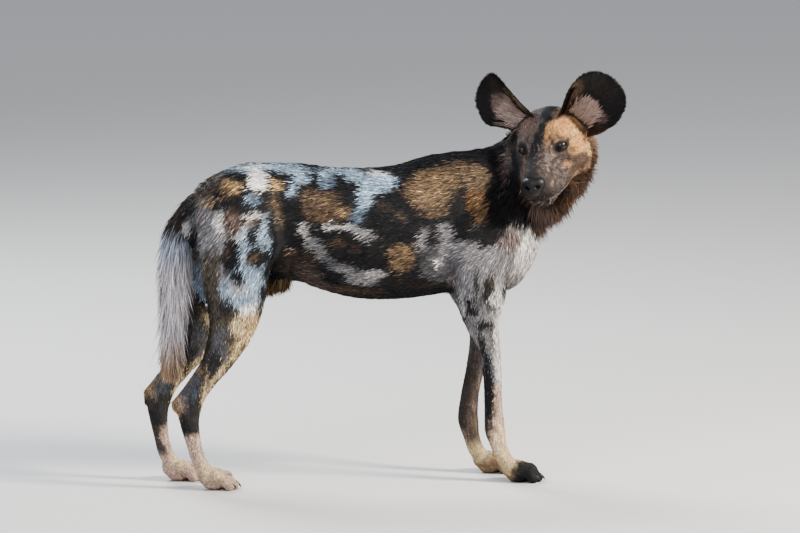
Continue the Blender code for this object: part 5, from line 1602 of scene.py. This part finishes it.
def make_stage():
    half, height = FLOOR_SIZE / 2, cad_low.z
    corners = [(x * half, y * half, height) for x, y in ((-1, -1), (1, -1), (1, 1), (-1, 1))]
    mesh = bpy.data.meshes.new("floor")
    mesh.from_pydata(corners, [], [(0, 1, 2, 3)])
    obj = bpy.data.objects.new("floor", mesh)
    bpy.context.scene.collection.objects.link(obj)
    material, _, shader = tree_of("floor_pale")
    shader.inputs["Base Color"].default_value = (0.60, 0.59, 0.57, 1)
    shader.inputs["Roughness"].default_value = 0.9
    mesh.materials.append(material)


def area_light(name, place, target, size, power, colour):
    data = bpy.data.lights.new(name, "AREA")
    data.shape, data.size, data.energy, data.color = "DISK", size, power, colour
    obj = bpy.data.objects.new(name, data)
    obj.location = place
    obj.rotation_euler = (Vector(place) - Vector(target)).to_track_quat("Z", "Y").to_euler()
    bpy.context.scene.collection.objects.link(obj)


def make_lights():
    middle = (0.05, 0, 0.5)
    area_light("key", (3.6, -2.2, 3.0), middle, 1.3, 430, (1.0, 0.93, 0.82))
    area_light("fill", (-2.6, -3.6, 2.4), middle, 3.0, 110, (0.88, 0.93, 1.0))
    area_light("rim", (-1.5, 3.0, 3.4), middle, 2.2, 190, (0.90, 0.95, 1.0))
    world = bpy.data.worlds.new("studio")
    world.use_nodes = True
    world.node_tree.nodes["Background"].inputs["Color"].default_value = (0.86, 0.90, 1.0, 1)
    world.node_tree.nodes["Background"].inputs["Strength"].default_value = 0.55
    bpy.context.scene.world = world
    bpy.context.scene.view_settings.look = "AgX - Medium High Contrast"


def make_camera():
    """The photograph's view, from far off with a long lens."""
    across = (PICTURE_CENTRE[0] - CENTRE[0]) / PER_METRE
    up = (CENTRE[1] - PICTURE_CENTRE[1]) / PER_METRE
    aim = VIEW_RIGHT * across + VIEW_UP * up + SHIFT
    data = bpy.data.cameras.new("camera")
    data.sensor_width = SENSOR
    data.lens = SENSOR * CAMERA_BACK / (PICTURE_WIDTH / PER_METRE)
    data.clip_end = 200
    obj = bpy.data.objects.new("camera", data)
    obj.location = aim + VIEW_BACK * CAMERA_BACK
    obj.rotation_mode = "QUATERNION"
    obj.rotation_quaternion = Vector(VIEW_BACK).to_track_quat("Z", "Y")
    bpy.context.scene.collection.objects.link(obj)
    bpy.context.scene.camera = obj


def find_shift():
    """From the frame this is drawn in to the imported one, by the left eye's place in both."""
    low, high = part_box("eye_left")
    return np.array((low + high) / 2) - to_world(EYE_AT)


SHIFT = find_shift()


def main():
    points, quads, normals = draw_skin()
    coat = Coat(points, normals)
    skin = new_object("skin", points, quads, skin_material())
    colour_points(skin, coat.streaked(points, lie(points, normals)) * 0.7)
    flesh_nodes = [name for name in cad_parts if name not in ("nose", "eye_left", "eye_right")]
    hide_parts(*flesh_nodes)
    fur = hair_material("short_fur", 0.60, 0.0)
    grow_coat(points, quads, normals, coat, fur)
    grow_ruff(points, quads, normals, fur)
    grow_tail(hair_material("brush_hair", 0.60, 0.08))
    grow_ear_hair(fur)
    grow_belly_tuft(fur)
    make_eyes(eye_material())
    make_nose(nose_material())
    horn = claw_material()
    make_claws(horn)
    make_whiskers(horn)
    make_stage()
    make_lights()
    make_camera()


main()
